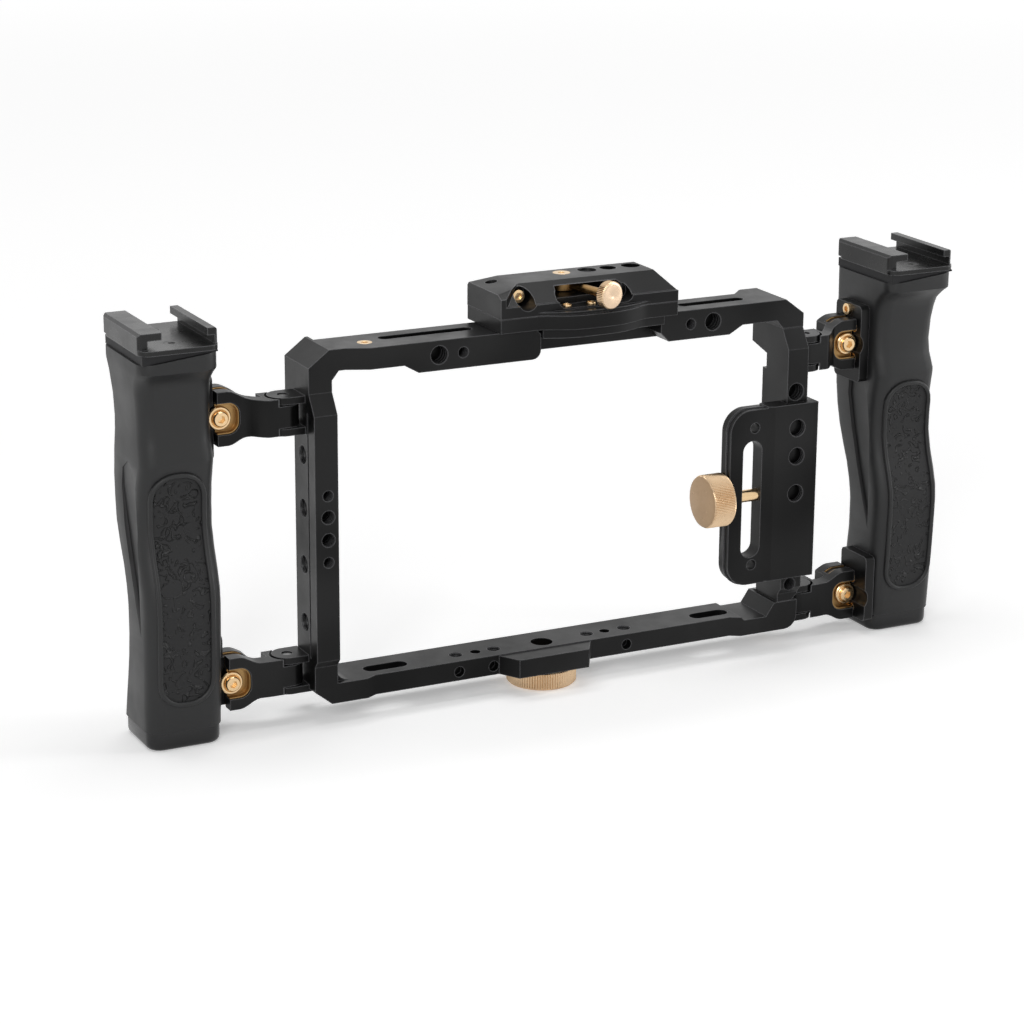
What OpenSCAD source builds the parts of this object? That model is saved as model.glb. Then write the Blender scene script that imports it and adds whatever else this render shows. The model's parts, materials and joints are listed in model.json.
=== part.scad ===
// Camera cage: a rectangular aluminium frame between two swinging side handles, with a
// lever clamp on top, a sliding accessory bracket on the right post and a captive
// thumbscrew under the bottom rail. The handles stand on their end caps at z = 0,
// the opening of the frame looks along Y, and the front of the cage faces -Y.

/* [Frame] */
// Clear width inside the frame
opening_w = 140; // [130:1:160]
// Clear height inside the frame
opening_h = 85; // [82:1:95]
// Width of a side post, seen from the front
post_w = 6.8; // [6.4:0.1:8]
// Depth of a side post
post_d = 13.8; // [13:0.1:15]
// How far the posts' front lies ahead of the handles' middle
post_ahead = 13.4; // [12.6:0.1:14]
// Height of the bottom rail
rail_h = 5.8; // [5.2:0.1:7]
// Depth of the bottom rail
rail_d = 13; // [12:0.1:14]
// Height of the top brackets
bracket_h = 8.4; // [8:0.1:9.5]
// Height of the frame's underside above the table
frame_lift = 5.8; // [5.4:0.1:8]

/* [Handles] */
// Width of a handle, seen from the front
grip_w = 21.9; // [21:0.1:24]
// Depth of a handle at its flared top
grip_d = 30; // [28:0.5:33]
// How far the handle's body rises above the frame's top
grip_rise = 2; // [0.5:0.1:5]
// Height of the glossy end cap
cap_h = 5.2; // [4.6:0.1:6]
// Width of the rubber inlay
inlay_w = 14.8; // [12:0.1:16]
// Height of the rubber inlay
inlay_h = 62.7; // [50:0.1:66]
// Thickness of the rubber inlay
inlay_t = 1.6; // [1.2:0.1:2.2]

/* [Cold shoes] */
// Width of the slot that takes an accessory foot
shoe_slot_w = 18.3; // [18:0.1:18.8]
// Height of that slot under the lips
shoe_slot_h = 2.3; // [2:0.1:2.6]
// Gap between the two lips
shoe_gap = 12.5; // [12:0.1:13]
// Thickness of the shoe's floor
shoe_floor_t = 1.4; // [1.2:0.1:2]
// Thickness of the lips
shoe_lip_t = 2; // [1.6:0.1:2.4]
// Length of a shoe, front to back
shoe_l = 29.5; // [27:0.5:32]

/* [Arms] */
// Distance from a handle's hinge pin to the handle's inner face
arm_reach = 21.5; // [20.5:0.1:25]
// Diameter of a hinge pin
pin_d = 3; // [2.5:0.1:3.4]
// Height of an arm's clamp head
head_h = 14.9; // [14:0.1:16]
// Height of an arm's web
web_h = 10.2; // [9.4:0.1:10.4]
// Height of the forked end at the frame
fork_h = 10.6; // [10.2:0.1:11.6]
// Height of the upper arm's middle below the frame's top
arm_drop = 17.7; // [17:0.1:22]
// Height of the left lower arm's middle above the frame's underside
left_arm_rise = 8.4; // [7.8:0.1:9.4]
// Height of the right lower arm's middle above the frame's underside
right_arm_rise = 5.6; // [5.4:0.1:5.8]

/* [Top clamp] */
// Width of the clamp block
clamp_w = 55; // [50:1:60]
// Height of the clamp block's base plate
clamp_base_h = 4; // [3.4:0.1:5]
// Height of the clamp block's body
clamp_body_h = 7.9; // [7.7:0.1:9]
// Diameter of the lever's knob
lever_knob_d = 7.7; // [7:0.1:8]
// Length of the lever, from its pivot to the knob's face
lever_l = 21.5; // [21.2:0.1:24]
// Angle of the lever at rest, from straight ahead
lever_rest = 14; // [5:1:20]

/* [Side bracket] */
// Width of the bracket's slotted wing
wing_w = 19; // [17:0.1:24]
// Thickness of the slotted wing
wing_t = 5; // [4.6:0.1:5.6]
// Height of the bracket
wing_h = 52.4; // [48:0.1:54]
// Height of the bracket's lower end above the frame's underside
wing_rise = 17.2; // [16.4:0.1:18.6]
// Width of the wing's slot
wing_slot_w = 6.2; // [5:0.1:7]
// Diameter of the side thumbscrew's knob
side_knob_d = 15.4; // [13:0.1:18]
// Length of the side thumbscrew's knob
side_knob_l = 7.4; // [6:0.1:9]

/* [Bottom thumbscrew] */
// Diameter of the bottom thumbscrew's knob
bottom_knob_d = 20; // [17:0.5:22]
// Diameter of the bottom thumbscrew's shank
bottom_shank_d = 6.2; // [5.5:0.1:6.4]

/* [Threaded holes] */
// Bore of the large accessory holes
large_bore_d = 5.1; // [4.2:0.1:5.3]
// Bore of the medium accessory holes
medium_bore_d = 3.8; // [3.3:0.1:4]
// Bore of the small locating holes
small_bore_d = 3; // [2.5:0.1:3.2]

/* [Hidden] */
$fn = 48;
// Overrun of every cut past the face that it opens
over = 1;
// Running gap between pieces that move past each other
gap = 0.3;
// Radial play of the hinge pins and other running shafts
shaft_play = 0.03;
// Radial play of a screw's shank in its hole
screw_play = 0.05;

// Planes of the frame
frame_bottom = frame_lift;
rail_top = frame_bottom + rail_h;
bracket_bottom = rail_top + opening_h;
frame_top = bracket_bottom + bracket_h;
post_in = opening_w / 2;
post_out = post_in + post_w;
post_front = -post_ahead;
post_back = post_front + post_d;
corner_set = 3.5;
foot_set = 1.7;
rail_set = 3.4;
left_bracket_set = 0.9;
right_bracket_set = 3.4;
corner_front = post_front + corner_set;
foot_front = post_front + foot_set;
rail_front = post_front + rail_set;
rail_back = rail_front + rail_d;
left_bracket_front = post_front + left_bracket_set;
right_bracket_front = post_front + right_bracket_set;

// Heights on a post, from the frame's underside or top
foot_flat = 11.2;
foot_facet = 2;
left_top_flat = 11.6;
right_top_flat = 8.7;
top_facet = 5.4;
corner_depth = 6.2;
top_pad_h = 15.5;
top_pad_slope = 2;
notch_h = 4.5;
notch_d = 2;
low_pad_h = 7.7;
low_pad_slope = 1.5;

// Corner shapes of the frame, seen from the front
outer_chamfer_w = 6;
outer_chamfer_h = 4.5;
low_chamfer_w = 5;
low_chamfer_h = 4;
inner_chamfer_w = 2;
inner_chamfer_h = 2.5;
bottom_fillet_r = 4;
end_chamfer = 1.5;
end_round = 2.5;
step_h = 2.4;
left_step_in = 20;
left_step_w = 4.2;
right_step_in = 13.4;
right_step_w = 4.3;

// Ends of the two top brackets and of the thicker corner feet, from the posts' inner faces
left_bracket_l = 61;
right_bracket_l = 40;
right_back_flat = 5;
right_back_ramp = 4;
left_front_ramp = 4;
left_front_ramp_w = 6;
foot_l = 12;
foot_ramp = 3;

// Hook of the bottom rail, on which the right post stands
hook_drop = 1;
hook_h = 8.7;
hook_in = 3.6;
hook_ramp = 2.7;
right_foot_r = 4;
post_end_chamfer = 2;

// Grooves along a post's outer side
groove_w = 0.8;
groove_d = 0.6;
groove_back = 4.4;

// Hinge lugs on the posts and the arms' forks
hinge_out = 4.8;
lug_r = 4.3;
lug_plate_h = 2;
lug_root = 5;
barrel_h = fork_h - 2 * (lug_plate_h + gap);
hinge_back = 10.1;
hinge_x = post_out + hinge_out;
hinge_y = post_front + hinge_back;
upper_arm_z = frame_top - arm_drop;
left_lower_z = frame_bottom + left_arm_rise;
right_lower_z = frame_bottom + right_arm_rise;
left_arm_zs = [upper_arm_z, left_lower_z];
right_arm_zs = [upper_arm_z, right_lower_z];

// Accessory holes of the frame
post_hole_in = 3;
front_hole_depths = [3.7, 4.2, 4.4, 3.9];
large_hole_depth = 4.2;
pin_hole_depth = 3.6;
low_hole_depth = 3.9;
front_hole_first = 41.3;
front_hole_offsets = [0, 6.3, 12.7, 18.7];
side_hole_back = 8.2;
side_hole_first = 22.5;
side_hole_offsets = [0, 16.5, 32.5, 47.4];
right_high_hole_z = 72.5;
right_low_hole_z = 14.4;
bracket_hole_z = 4.3;
left_bracket_large_in = 30.3;
left_bracket_small_in = 37.5;
right_bracket_small_in = 30.4;
right_bracket_large_in = 23.2;
top_slot_w = 3.6;
top_slot_depth = 2.7;
top_slot_back = 9.9;
left_slot_in = 16.3;
left_slot_l = 27.8;
right_slot_in = 10;
right_slot_l = 21;
rail_slot_w = 4.6;
rail_hole_back = 5.2;
left_rail_slot_in = 10.6;
left_rail_slot_l = 13.1;
right_rail_slot_in = 13.1;
right_rail_slot_l = 12.2;
thumb_x = -4.3;
thumb_back = 4.7;
rail_medium_offsets = [-26.9, -15, 14.7, 26.9];
rail_small_offsets = [-20.7, 20.6];
rail_front_hole_z = 2.6;
rail_front_offsets = [-28.1, -17.4, 25.1];
rail_front_depths = [2.2, 2.4, 2.6];

// Boss of the rail over the bottom thumbscrew
boss_l = 14.5;
boss_shift = 1.2;
boss_ahead = 6;
boss_taper = 3.5;
boss_drop = 0.3;

// Bridge bar behind the two top brackets
bar_set = 10.4;
bar_d = 5.5;
bar_drop = 2.7;
bar_front = post_front + bar_set;
bar_back = bar_front + bar_d;
bar_top = frame_top - bar_drop;
bar_screw_z = 3.2;
bar_screw_ins = [24, 55];
bar_screw_right_ins = [17, 35.5];
bar_screw_d = 2.5;
bar_screw_head_d = 4.6;
bar_screw_head_h = 2;
bar_screw_l = 7;
corner_screw_in = 11.3;
corner_screw_back = 7.6;
corner_screw_head_d = 4.2;
corner_screw_head_h = 1.6;
corner_screw_d = 2.4;
corner_screw_l = 5;
hook_screw_in = 2.6;
hook_screw_sink = 0.6;
hook_screw_head_d = 4.2;
hook_screw_head_h = 2.4;
hook_screw_d = 3;
hook_screw_l = 12;

// Handle body
grip_in = hinge_x + arm_reach;
grip_out = grip_in + grip_w;
grip_top = frame_top + grip_rise;
grip_top_rise = 2.2;
spacer_h = 0.4;
front_corner_r = 4.5;
back_corner_r = 3;
corner_points = 5;
grip_body_h = grip_top - cap_h;
// Rows up the handle: height, front, back and outer side as shares
grip_shares = [
    [0, 0.8, 0.6, 0.01], [0.067, 0.83, 0.5, 0.01], [0.116, 0.853, 0.42, 0.01],
    [0.175, 0.885, 0.333, 0.01], [0.243, 0.91, 0.28, 0.01], [0.322, 0.93, 0.28, 0.01],
    [0.342, 0.933, 0.293, 0.01], [0.381, 0.913, 0.347, 0.01], [0.43, 0.813, 0.453, 0.01],
    [0.479, 0.687, 0.607, 0.01], [0.538, 0.593, 0.77, 0.012], [0.597, 0.59, 0.88, 0.028],
    [0.656, 0.627, 0.943, 0.04], [0.715, 0.725, 0.965, 0.055], [0.728, 0.733, 0.967, 0.058],
    [0.774, 0.62, 0.973, 0.075], [0.813, 0.587, 0.98, 0.08], [0.872, 0.607, 0.987, 0.068],
    [0.911, 0.64, 0.99, 0.045], [0.937, 0.7, 0.993, 0.03], [0.96, 0.86, 0.997, 0.01],
    [0.975, 1, 1, 0], [1, 1, 1, 0]];
inlay_rise = 7.9;
inlay_shift = 0.15;
inlay_corner_r = 6.4;
inlay_proud = 0.2;
inlay_play = 0.05;
inlay_rows = 22;
inlay_end_rows = 6;
inlay_depth_ahead = 3;
side_groove_d = 1;
outer_draw = 0.3;
// Outline of the side groove: back and height as shares of the half depth and the body
side_groove_shares = [[-0.52, 0.26], [-0.5, 0.4], [-0.4, 0.56], [-0.3, 0.66], [-0.18, 0.7],
    [0.1, 0.715], [0.34, 0.69], [0.36, 0.64], [0.2, 0.55], [-0.05, 0.44], [-0.3, 0.34]];

// End cap
cap_round = 1.6;
cap_round_rows = 4;
cap_inset = 0.4;
cap_screw_head_d = 6;
cap_screw_head_h = 2;
cap_screw_sink = 0.6;
cap_screw_d = 3;
cap_screw_l = 10;

// Cold shoe
shoe_edge = 0.8;
shoe_corner_r = 3;
shoe_rail_set = 1.8;
shoe_rail_r = 1.2;
shoe_screw_d = 2.5;
shoe_screw_head_d = 4.4;
shoe_screw_head_h = 0.9;
shoe_screw_l = 9;
shoe_screw_pitch = 16;
shoe_bottom = grip_top + grip_top_rise + spacer_h;
shoe_floor = shoe_bottom + shoe_floor_t;
shoe_lip = shoe_floor + shoe_slot_h;
shoe_top = shoe_lip + shoe_lip_t;
spacer_inset = 0.6;
spacer_seat = 0.02;
shoe_wall = 1;
shoe_right_lip = 2;
shoe_right_wall_x = grip_w - shoe_wall;
shoe_left_wall_x = shoe_right_wall_x - shoe_slot_w;
shoe_right_lip_x = shoe_right_wall_x - shoe_right_lip;
shoe_left_lip_x = shoe_right_lip_x - shoe_gap;

// Mounting plates on the handles' inner faces, and their lugs
plate_t = 3;
plate_w = 13.5;
plate_corner_r = 1.5;
upper_plate_h = 22.9;
upper_plate_down = 11.5;
upper_plate_front = 4.5;
lower_plate_h = 20.1;
lower_plate_down = 7.3;
lower_plate_front = 12.5;
left_plate_w = 10;
left_upper_plate_front = 0;
left_lower_plate_front = 3;
left_head_back = 4.4;
right_head_back = 5.5;
left_head_x = grip_in - left_head_back;
right_head_x = grip_in - right_head_back;
head_d = 9.5;
head_slope_start = 8;
head_slope_l = 6.2;
arm_steps = 24;
upper_head_front = 2.5;
lower_head_front = 7;
cheek_t = 3.4;
washer_t = 0.4;
washer_in = 0.2;
lug_play = 0.6;
neck_in = 4.9;
fork_clear = 0.7;
pin_sink = 0.4;
bolt_head_d = 6.5;
bolt_head_h = 2.2;
bolt_pocket_reach = 5.2;
bolt_pocket_h = 8.6;
bolt_pocket_r = 3.2;
bolt_pocket_depth = 2.6;
liner_t = 0.4;
liner_set = 0.4;
liner_play = 0.02;
bolt_d = 3.6;
bolt_l = 6;
bolt_socket_d = 3.4;
bolt_socket_h = 1.2;
plate_screw_head_d = 3.4;
plate_screw_head_h = 1.6;
plate_screw_d = 1.8;
plate_screw_l = 7;
plate_screw_edge = 1.85;
plate_screw_sink = 0.6;
sunk_screw_head_d = 3;
sunk_screw_out = 4.7;
channel_d = 2;
channel_wall = 0.9;
channel_front = 4.4;
plates_in = grip_in - plate_t;
head_fronts = [-upper_head_front, -lower_head_front];
left_plate_fronts = [left_upper_plate_front, -left_lower_plate_front];
right_plate_fronts = [-upper_plate_front, -lower_plate_front];
left_sunk_ys = [for (y = head_fronts) y + head_d - cheek_t / 2];
right_sunk_ys = [for (y = head_fronts) y + cheek_t / 2];
plate_downs = [upper_plate_down, lower_plate_down];
plate_hs = [upper_plate_h, lower_plate_h];

// Top clamp
clamp_x = 5.5;
clamp_front = 14;
clamp_back = 7;
clamp_left = clamp_x - clamp_w / 2;
clamp_right = clamp_x + clamp_w / 2;
clamp_base_bottom = frame_top;
clamp_base_top = clamp_base_bottom + clamp_base_h;
clamp_top = clamp_base_top + clamp_body_h;
bulge_x = 6.5;
bulge_half_w = 17.5;
bulge_out = 4;
bulge_power = 1.8;
bulge_steps = 40;
keel_in = 1.5;
keel_out = 3.4;
lip_out = 3;
lip_h = 0.9;
lip_rise = 3.2;
lip_ledge = 1;
slope_back = 6.6;
slope_end_w = 4;
slope_end_h = 4.8;
top_end_slope_w = 8;
top_end_slope_h = 1.3;
back_chamfer = 2.2;
horn_drop = 2.4;
horn_slope = 4.5;
horn_w = 1.6;
horn_skew = 8;

// Space for the lever in the clamp's body
slot_rise = 3.4;
slot_down = 1.3;
eye_rise = 1.4;
slot_floor = clamp_base_top + slot_rise;
slot_roof = clamp_top - slot_down;
eye_floor = clamp_base_top + eye_rise;
eye_half_w = 10.5;
eye_d = 5;
eye_steps = 24;
eye_h = 4.8;
eye_left = 8.2;
eye_right = 14.8;
cavity_left = 7.6;
cavity_right = 14;
cavity_front = 10.5;
pivot_x = 4;
pivot_y = 0.9;
rotor_r = 4.8;
rotor_h = slot_roof - slot_floor - 2 * gap;
stem_z = (slot_floor + slot_roof) / 2;
stem_d = 2.4;
lever_knob_l = 3.2;
knob_rim = 0.5;

// Screws and holes of the clamp
small_socket_d = 2;
pivot_screw_head_d = 5;
pivot_screw_head_h = 0.8;
pivot_screw_d = 2.8;
pivot_screw_l = 5.9;
clamp_hole_offsets = [8, 14.6, 21.8];
clamp_hole_ds = [5.4, 4.8, 5.4];
// The first hole is shallow, because the lever's space lies under it
clamp_hole_depths = [1, 2.2, 2.4];
key_hole_x = -17.7;
key_hole_d = 3.4;
key_hole_depth = 3;
front_bore_x = -13.6;
front_bore_d = 5.6;
front_bore_back = 8.4;
front_bore_z = 4.5;
front_screw_head_d = 3.7;
front_screw_head_h = 2.2;
front_screw_d = 2.4;
front_screw_l = 4;
base_screw_in = 4;
base_screw_d = 2.5;
base_screw_head_d = 4.4;
base_screw_head_h = 1.6;
base_screw_l = 7.6;
body_screw_xs = [-6.5, 1, 7];
body_screw_y = -12.1;
body_screw_d = 1.6;
body_screw_head_d = 2.8;
body_screw_head_h = 0.7;
body_screw_l = 4;

// Side bracket
pad_t = 2.1;
pad_over = 5.5;
pad_ramp = 1.6;
wrap_t = 2.1;
wrap_d = 5;
wing_set = 0.8;
wing_corner_r = 6.5;
wing_drop = 0.3;
wing_top_in = 0.4;
wing_slot_in = 11.6;
wing_slot_low = 7.9;
wing_slot_high = 9.6;
wing_hole_in = 11;
wing_hole_low = 5.6;
wing_hole_high = 5.8;
pad_holes = [45.2, 36.8, 25.7];
pad_hole_in = 2.4;
side_shank_d = 3.6;
side_shank_rise = 25.9;

// Bottom thumbscrew and hex sockets
stand_gap = 0.3;
thumb_play = 0.08;
thumb_tip_drop = 4;
thumb_y = rail_front + thumb_back;
bottom_knob_h = frame_lift - stand_gap - gap;
socket_d = 2.6;
socket_h = 0.8;

keel_left = -post_in + left_bracket_l + gap;
keel_right = post_in - right_bracket_l - gap;
wing_bottom = frame_bottom + wing_rise;
wing_top = wing_bottom + wing_h;
pad_front = post_front - gap - pad_t;
wing_front = pad_front + wing_set;
wing_back = wing_front + wing_t;
wing_right = post_in - gap;
wing_left = wing_right - wing_w;
side_shank_y = (wing_front + wing_back) / 2;

// Shift that puts the origin in the middle of the whole cage's depth
lever_front = pivot_y - lever_l * cos(lever_rest)
    - (lever_knob_d / 2 - knob_rim) * sin(lever_rest);
place_y = -round((grip_d / 2 + lever_front) * 50) / 100;

// Prisms: an outline drawn in [y, z], [x, z] or [x, y], pulled along the third axis
module along_x(x0, x1) {
    translate([x0, 0, 0]) rotate([90, 0, 90]) linear_extrude(x1 - x0) children();
}

module along_y(y0, y1) {
    translate([0, y1, 0]) rotate([90, 0, 0]) linear_extrude(y1 - y0) children();
}

module along_z(z0, z1) {
    translate([0, 0, z0]) linear_extrude(z1 - z0) children();
}

module slab(x0, x1, y0, y1, z0, z1) {
    translate([x0, y0, z0]) cube([x1 - x0, y1 - y0, z1 - z0]);
}

// Points of a round corner about [u, v]
function turn(u, v, r, from, sweep = 90, steps = 5) =
    [for (i = [0 : steps]) let (a = from + i * sweep / steps) [u + r * cos(a), v + r * sin(a)]];

function smooth(t) = t * t * (3 - 2 * t);

// Long hole lying along X in a plane
module slot_outline(x0, x1, v, w) {
    translate([x0 + w / 2, v - w / 2]) square([x1 - x0 - w, w]);
    translate([x0 + w / 2, v]) circle(w / 2);
    translate([x1 - w / 2, v]) circle(w / 2);
}

module rounded_outline(u0, u1, v0, v1, r) {
    translate([u0 + r, v0]) square([u1 - u0 - 2 * r, v1 - v0]);
    translate([u0, v0 + r]) square([u1 - u0, v1 - v0 - 2 * r]);
    for (u = [u0 + r, u1 - r], v = [v0 + r, v1 - r]) translate([u, v]) circle(r);
}

// Bores drilled from a face into the metal
module front_bore(x, y, z, d, depth) {
    translate([x, y - over, z]) rotate([-90, 0, 0]) cylinder(d = d, h = depth + over);
}

module top_bore(x, y, z, d, depth) {
    translate([x, y, z - depth]) cylinder(d = d, h = depth + over);
}

module side_bore(x0, x1, y, z, d) {
    translate([x0, y, z]) rotate([0, 90, 0]) cylinder(d = d, h = x1 - x0);
}

// Screw with its head above z = 0, a hex socket in the head and its shank below
module screw(head_d, head_h, shank_d, shank_l, hex_d, hex_h) {
    difference() {
        union() {
            cylinder(d = head_d, h = head_h);
            translate([0, 0, -shank_l]) cylinder(d = shank_d, h = shank_l);
        }
        translate([0, 0, head_h - hex_h]) cylinder(d = hex_d, h = hex_h + over, $fn = 6);
    }
}

module mirrored(side) {
    if (side < 0) mirror([1, 0, 0]) children();
    else children();
}

module placed() {
    translate([0, place_y, 0]) children();
}

// Side view of a post: front and back edges, bottom to top
module post_profile(top_flat) {
    pad_back = post_back + corner_depth;
    polygon([
        [foot_front, frame_bottom], [foot_front, frame_bottom + foot_flat],
        [post_front, frame_bottom + foot_flat + foot_facet],
        [post_front, frame_top - top_flat - top_facet], [corner_front, frame_top - top_flat],
        [corner_front, frame_top], [pad_back, frame_top], [pad_back, frame_top - top_pad_h],
        [post_back - notch_d, frame_top - top_pad_h - top_pad_slope],
        [post_back - notch_d, frame_top - top_pad_h - top_pad_slope - notch_h],
        [post_back, frame_top - top_pad_h - top_pad_slope - notch_h],
        [post_back, frame_bottom + low_pad_h + low_pad_slope],
        [pad_back, frame_bottom + low_pad_h], [pad_back, frame_bottom]]);
}

// One of the two flat lugs on a post's outer side that hold an arm between them
module post_lug(z, side) {
    z0 = side > 0 ? z + fork_h / 2 - lug_plate_h : z - fork_h / 2;
    along_z(z0, z0 + lug_plate_h) {
        translate([hinge_x, hinge_y]) circle(lug_r);
        translate([post_out, hinge_y - lug_r]) square([hinge_out, 2 * lug_r]);
    }
    slab(post_out - lug_root, post_out + over, hinge_y - lug_r, post_back - notch_d,
        z0, z0 + lug_plate_h);
}

module lug_bores(heights) {
    for (z = heights) translate([hinge_x, hinge_y, z - fork_h / 2 - over])
        cylinder(d = pin_d + 2 * shaft_play, h = fork_h + 2 * over);
}

// Threaded holes through the left post's outer side, drawn at +X
module post_side_bores() {
    for (step = side_hole_offsets)
        side_bore(post_in - over, post_out + over, post_front + side_hole_back,
            frame_bottom + side_hole_first + step, large_bore_d);
}

module post_groove() {
    y = post_front + groove_back;
    slab(post_out - groove_d, post_out + over, y - groove_w / 2, y + groove_w / 2,
        frame_bottom + foot_flat + foot_facet, frame_top - left_top_flat - top_facet);
}

// Shape of the bridge bar behind the brackets, seen from the front
module bar_outline() {
    left = -post_in + left_step_in;
    right = post_in - right_step_in;
    polygon([
        [left, bracket_bottom + step_h], [left + left_step_w, bracket_bottom],
        [right - right_step_w, bracket_bottom], [right, bracket_bottom + step_h],
        [right, bar_top], [left, bar_top]]);
}

module bar_channel() {
    along_y(bar_front, post_back + corner_depth + over) bar_outline();
}

module bar_screw_places() {
    z = bracket_bottom + bar_screw_z;
    for (i = bar_screw_ins) translate([-post_in + i, bar_back - bar_screw_head_h, z]) children();
    for (i = bar_screw_right_ins) translate([post_in - i, bar_back - bar_screw_head_h, z]) children();
}

module bar_screw_bores() {
    bar_screw_places() rotate([-90, 0, 0]) translate([0, 0, -bar_screw_l])
        cylinder(d = bar_screw_d + 2 * screw_play, h = bar_screw_l + over);
}

// Front view of the left half: top bracket, left post, bottom rail and hook
module left_outline() {
    end = -post_in + left_bracket_l;
    step = -post_in + left_step_in;
    foot = post_in - foot_l;
    hook = post_in - hook_in;
    polygon(concat(
        [[end - end_chamfer, frame_top], [end, frame_top - end_chamfer]],
        turn(end - end_round, bracket_bottom + end_round, end_round, 0, -90),
        [[step + left_step_w, bracket_bottom], [step, bracket_bottom + step_h]],
        [[-post_in + inner_chamfer_w, bracket_bottom + step_h]],
        [[-post_in, bracket_bottom + step_h - inner_chamfer_h]],
        turn(-post_in + bottom_fillet_r, rail_top + bottom_fillet_r, bottom_fillet_r, 180),
        [[foot, rail_top], [foot + hook_drop, rail_top - hook_drop]],
        [[hook, rail_top - hook_drop], [hook + hook_ramp, frame_bottom + hook_h]],
        [[post_out, frame_bottom + hook_h]],
        turn(post_out - right_foot_r, frame_bottom + right_foot_r, right_foot_r, 0, -90),
        [[-post_out + low_chamfer_w, frame_bottom]],
        [[-post_out, frame_bottom + low_chamfer_h], [-post_out, frame_top - outer_chamfer_h]],
        [[-post_out + outer_chamfer_w, frame_top]]));
}

// Plan of the bottom rail with its thicker ends
module rail_plan() {
    foot = post_in - foot_l;
    pad_back = post_back + corner_depth;
    polygon([
        [-post_out, foot_front], [-foot - foot_ramp, foot_front], [-foot, rail_front],
        [foot - foot_ramp, rail_front], [foot, foot_front], [post_out, foot_front],
        [post_out, rail_back], [-post_in, rail_back],
        [-post_in, pad_back], [-post_out, pad_back]]);
}

module thumb_boss() {
    middle = thumb_x - boss_shift;
    along_z(frame_bottom, rail_top - boss_drop) polygon([
        [middle - boss_l, rail_front], [middle - boss_l + boss_taper, rail_front - boss_ahead],
        [middle + boss_l - boss_taper, rail_front - boss_ahead], [middle + boss_l, rail_front],
        [middle + boss_l, rail_front + over], [middle - boss_l, rail_front + over]]);
}

module rail_bores() {
    y = rail_front + rail_hole_back;
    left = -post_in + left_rail_slot_in;
    right = post_in - right_rail_slot_in;
    along_z(frame_bottom - over, rail_top + over) {
        slot_outline(left, left + left_rail_slot_l, y, rail_slot_w);
        slot_outline(right - right_rail_slot_l, right, y, rail_slot_w);
    }
    for (s = rail_medium_offsets)
        translate([thumb_x + s, y, frame_bottom - over])
            cylinder(d = medium_bore_d, h = rail_h + 2 * over);
    for (s = rail_small_offsets)
        translate([thumb_x + s, y, frame_bottom - over])
            cylinder(d = small_bore_d, h = rail_h + 2 * over);
    translate([thumb_x, thumb_y, frame_bottom - over])
        cylinder(d = bottom_shank_d + 2 * thumb_play, h = rail_h + 2 * over);
    for (i = [0 : 2])
        front_bore(thumb_x + rail_front_offsets[i], rail_front, frame_bottom + rail_front_hole_z,
            small_bore_d, rail_front_depths[i]);
}

module left_bracket_plan() {
    ramp = -post_in + left_front_ramp;
    end = -post_in + left_bracket_l;
    polygon([
        [-post_out, corner_front], [ramp, corner_front],
        [ramp + left_front_ramp_w, left_bracket_front], [end, left_bracket_front],
        [end, bar_back], [-post_out, bar_back]]);
}

module corner_screw_place() {
    translate([-post_in + corner_screw_in, post_front + corner_screw_back,
        frame_top - corner_screw_head_h]) children();
}

module hook_screw_place() {
    translate([post_in + hook_screw_in, hinge_y,
        frame_bottom + hook_screw_sink + hook_screw_head_h]) rotate([180, 0, 0]) children();
}

module left_frame() {
    color("#26272a") difference() {
        union() {
            intersection() {
                union() {
                    along_x(-post_out, -post_in) post_profile(left_top_flat);
                    along_z(frame_bottom, rail_top) rail_plan();
                    slab(post_in - hook_in, post_out, foot_front, rail_back,
                        rail_top - hook_drop - over, frame_bottom + hook_h);
                    slab(-post_in - over, -post_in + bottom_fillet_r, rail_front, rail_back,
                        rail_top - over, rail_top + bottom_fillet_r);
                    along_z(bracket_bottom, frame_top) left_bracket_plan();
                }
                along_y(-post_ahead, post_back + corner_depth) left_outline();
            }
            thumb_boss();
            for (z = left_arm_zs, side = [-1, 1]) mirrored(-1) post_lug(z, side);
            post_lug(right_lower_z, -1);
        }
        mirrored(-1) lug_bores(left_arm_zs);
        lug_bores([right_lower_z]);
        mirrored(-1) post_side_bores();
        mirrored(-1) post_groove();
        rail_bores();
        bar_channel();
        bar_screw_bores();
        for (i = [0 : 3])
            front_bore(-post_in - post_hole_in, post_front,
                frame_bottom + front_hole_first + front_hole_offsets[i],
                i == 0 || i == 3 ? small_bore_d : medium_bore_d, front_hole_depths[i]);
        front_bore(-post_in + left_bracket_large_in, left_bracket_front,
            bracket_bottom + bracket_hole_z, large_bore_d, large_hole_depth);
        front_bore(-post_in + left_bracket_small_in, left_bracket_front,
            bracket_bottom + bracket_hole_z, small_bore_d, pin_hole_depth);
        along_z(frame_top - top_slot_depth, frame_top + over)
            slot_outline(-post_in + left_slot_in, -post_in + left_slot_in + left_slot_l,
                post_front + top_slot_back, top_slot_w);
        corner_screw_place() {
            cylinder(d = corner_screw_head_d + 2 * screw_play, h = corner_screw_head_h + over);
            translate([0, 0, -corner_screw_l])
                cylinder(d = corner_screw_d + 2 * screw_play, h = corner_screw_l + over);
        }
        hook_screw_place() {
            cylinder(d = hook_screw_head_d + 2 * screw_play, h = hook_screw_head_h + over);
            translate([0, 0, -hook_screw_l])
                cylinder(d = hook_screw_d + 2 * screw_play, h = hook_screw_l + over);
        }
    }
}

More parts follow.
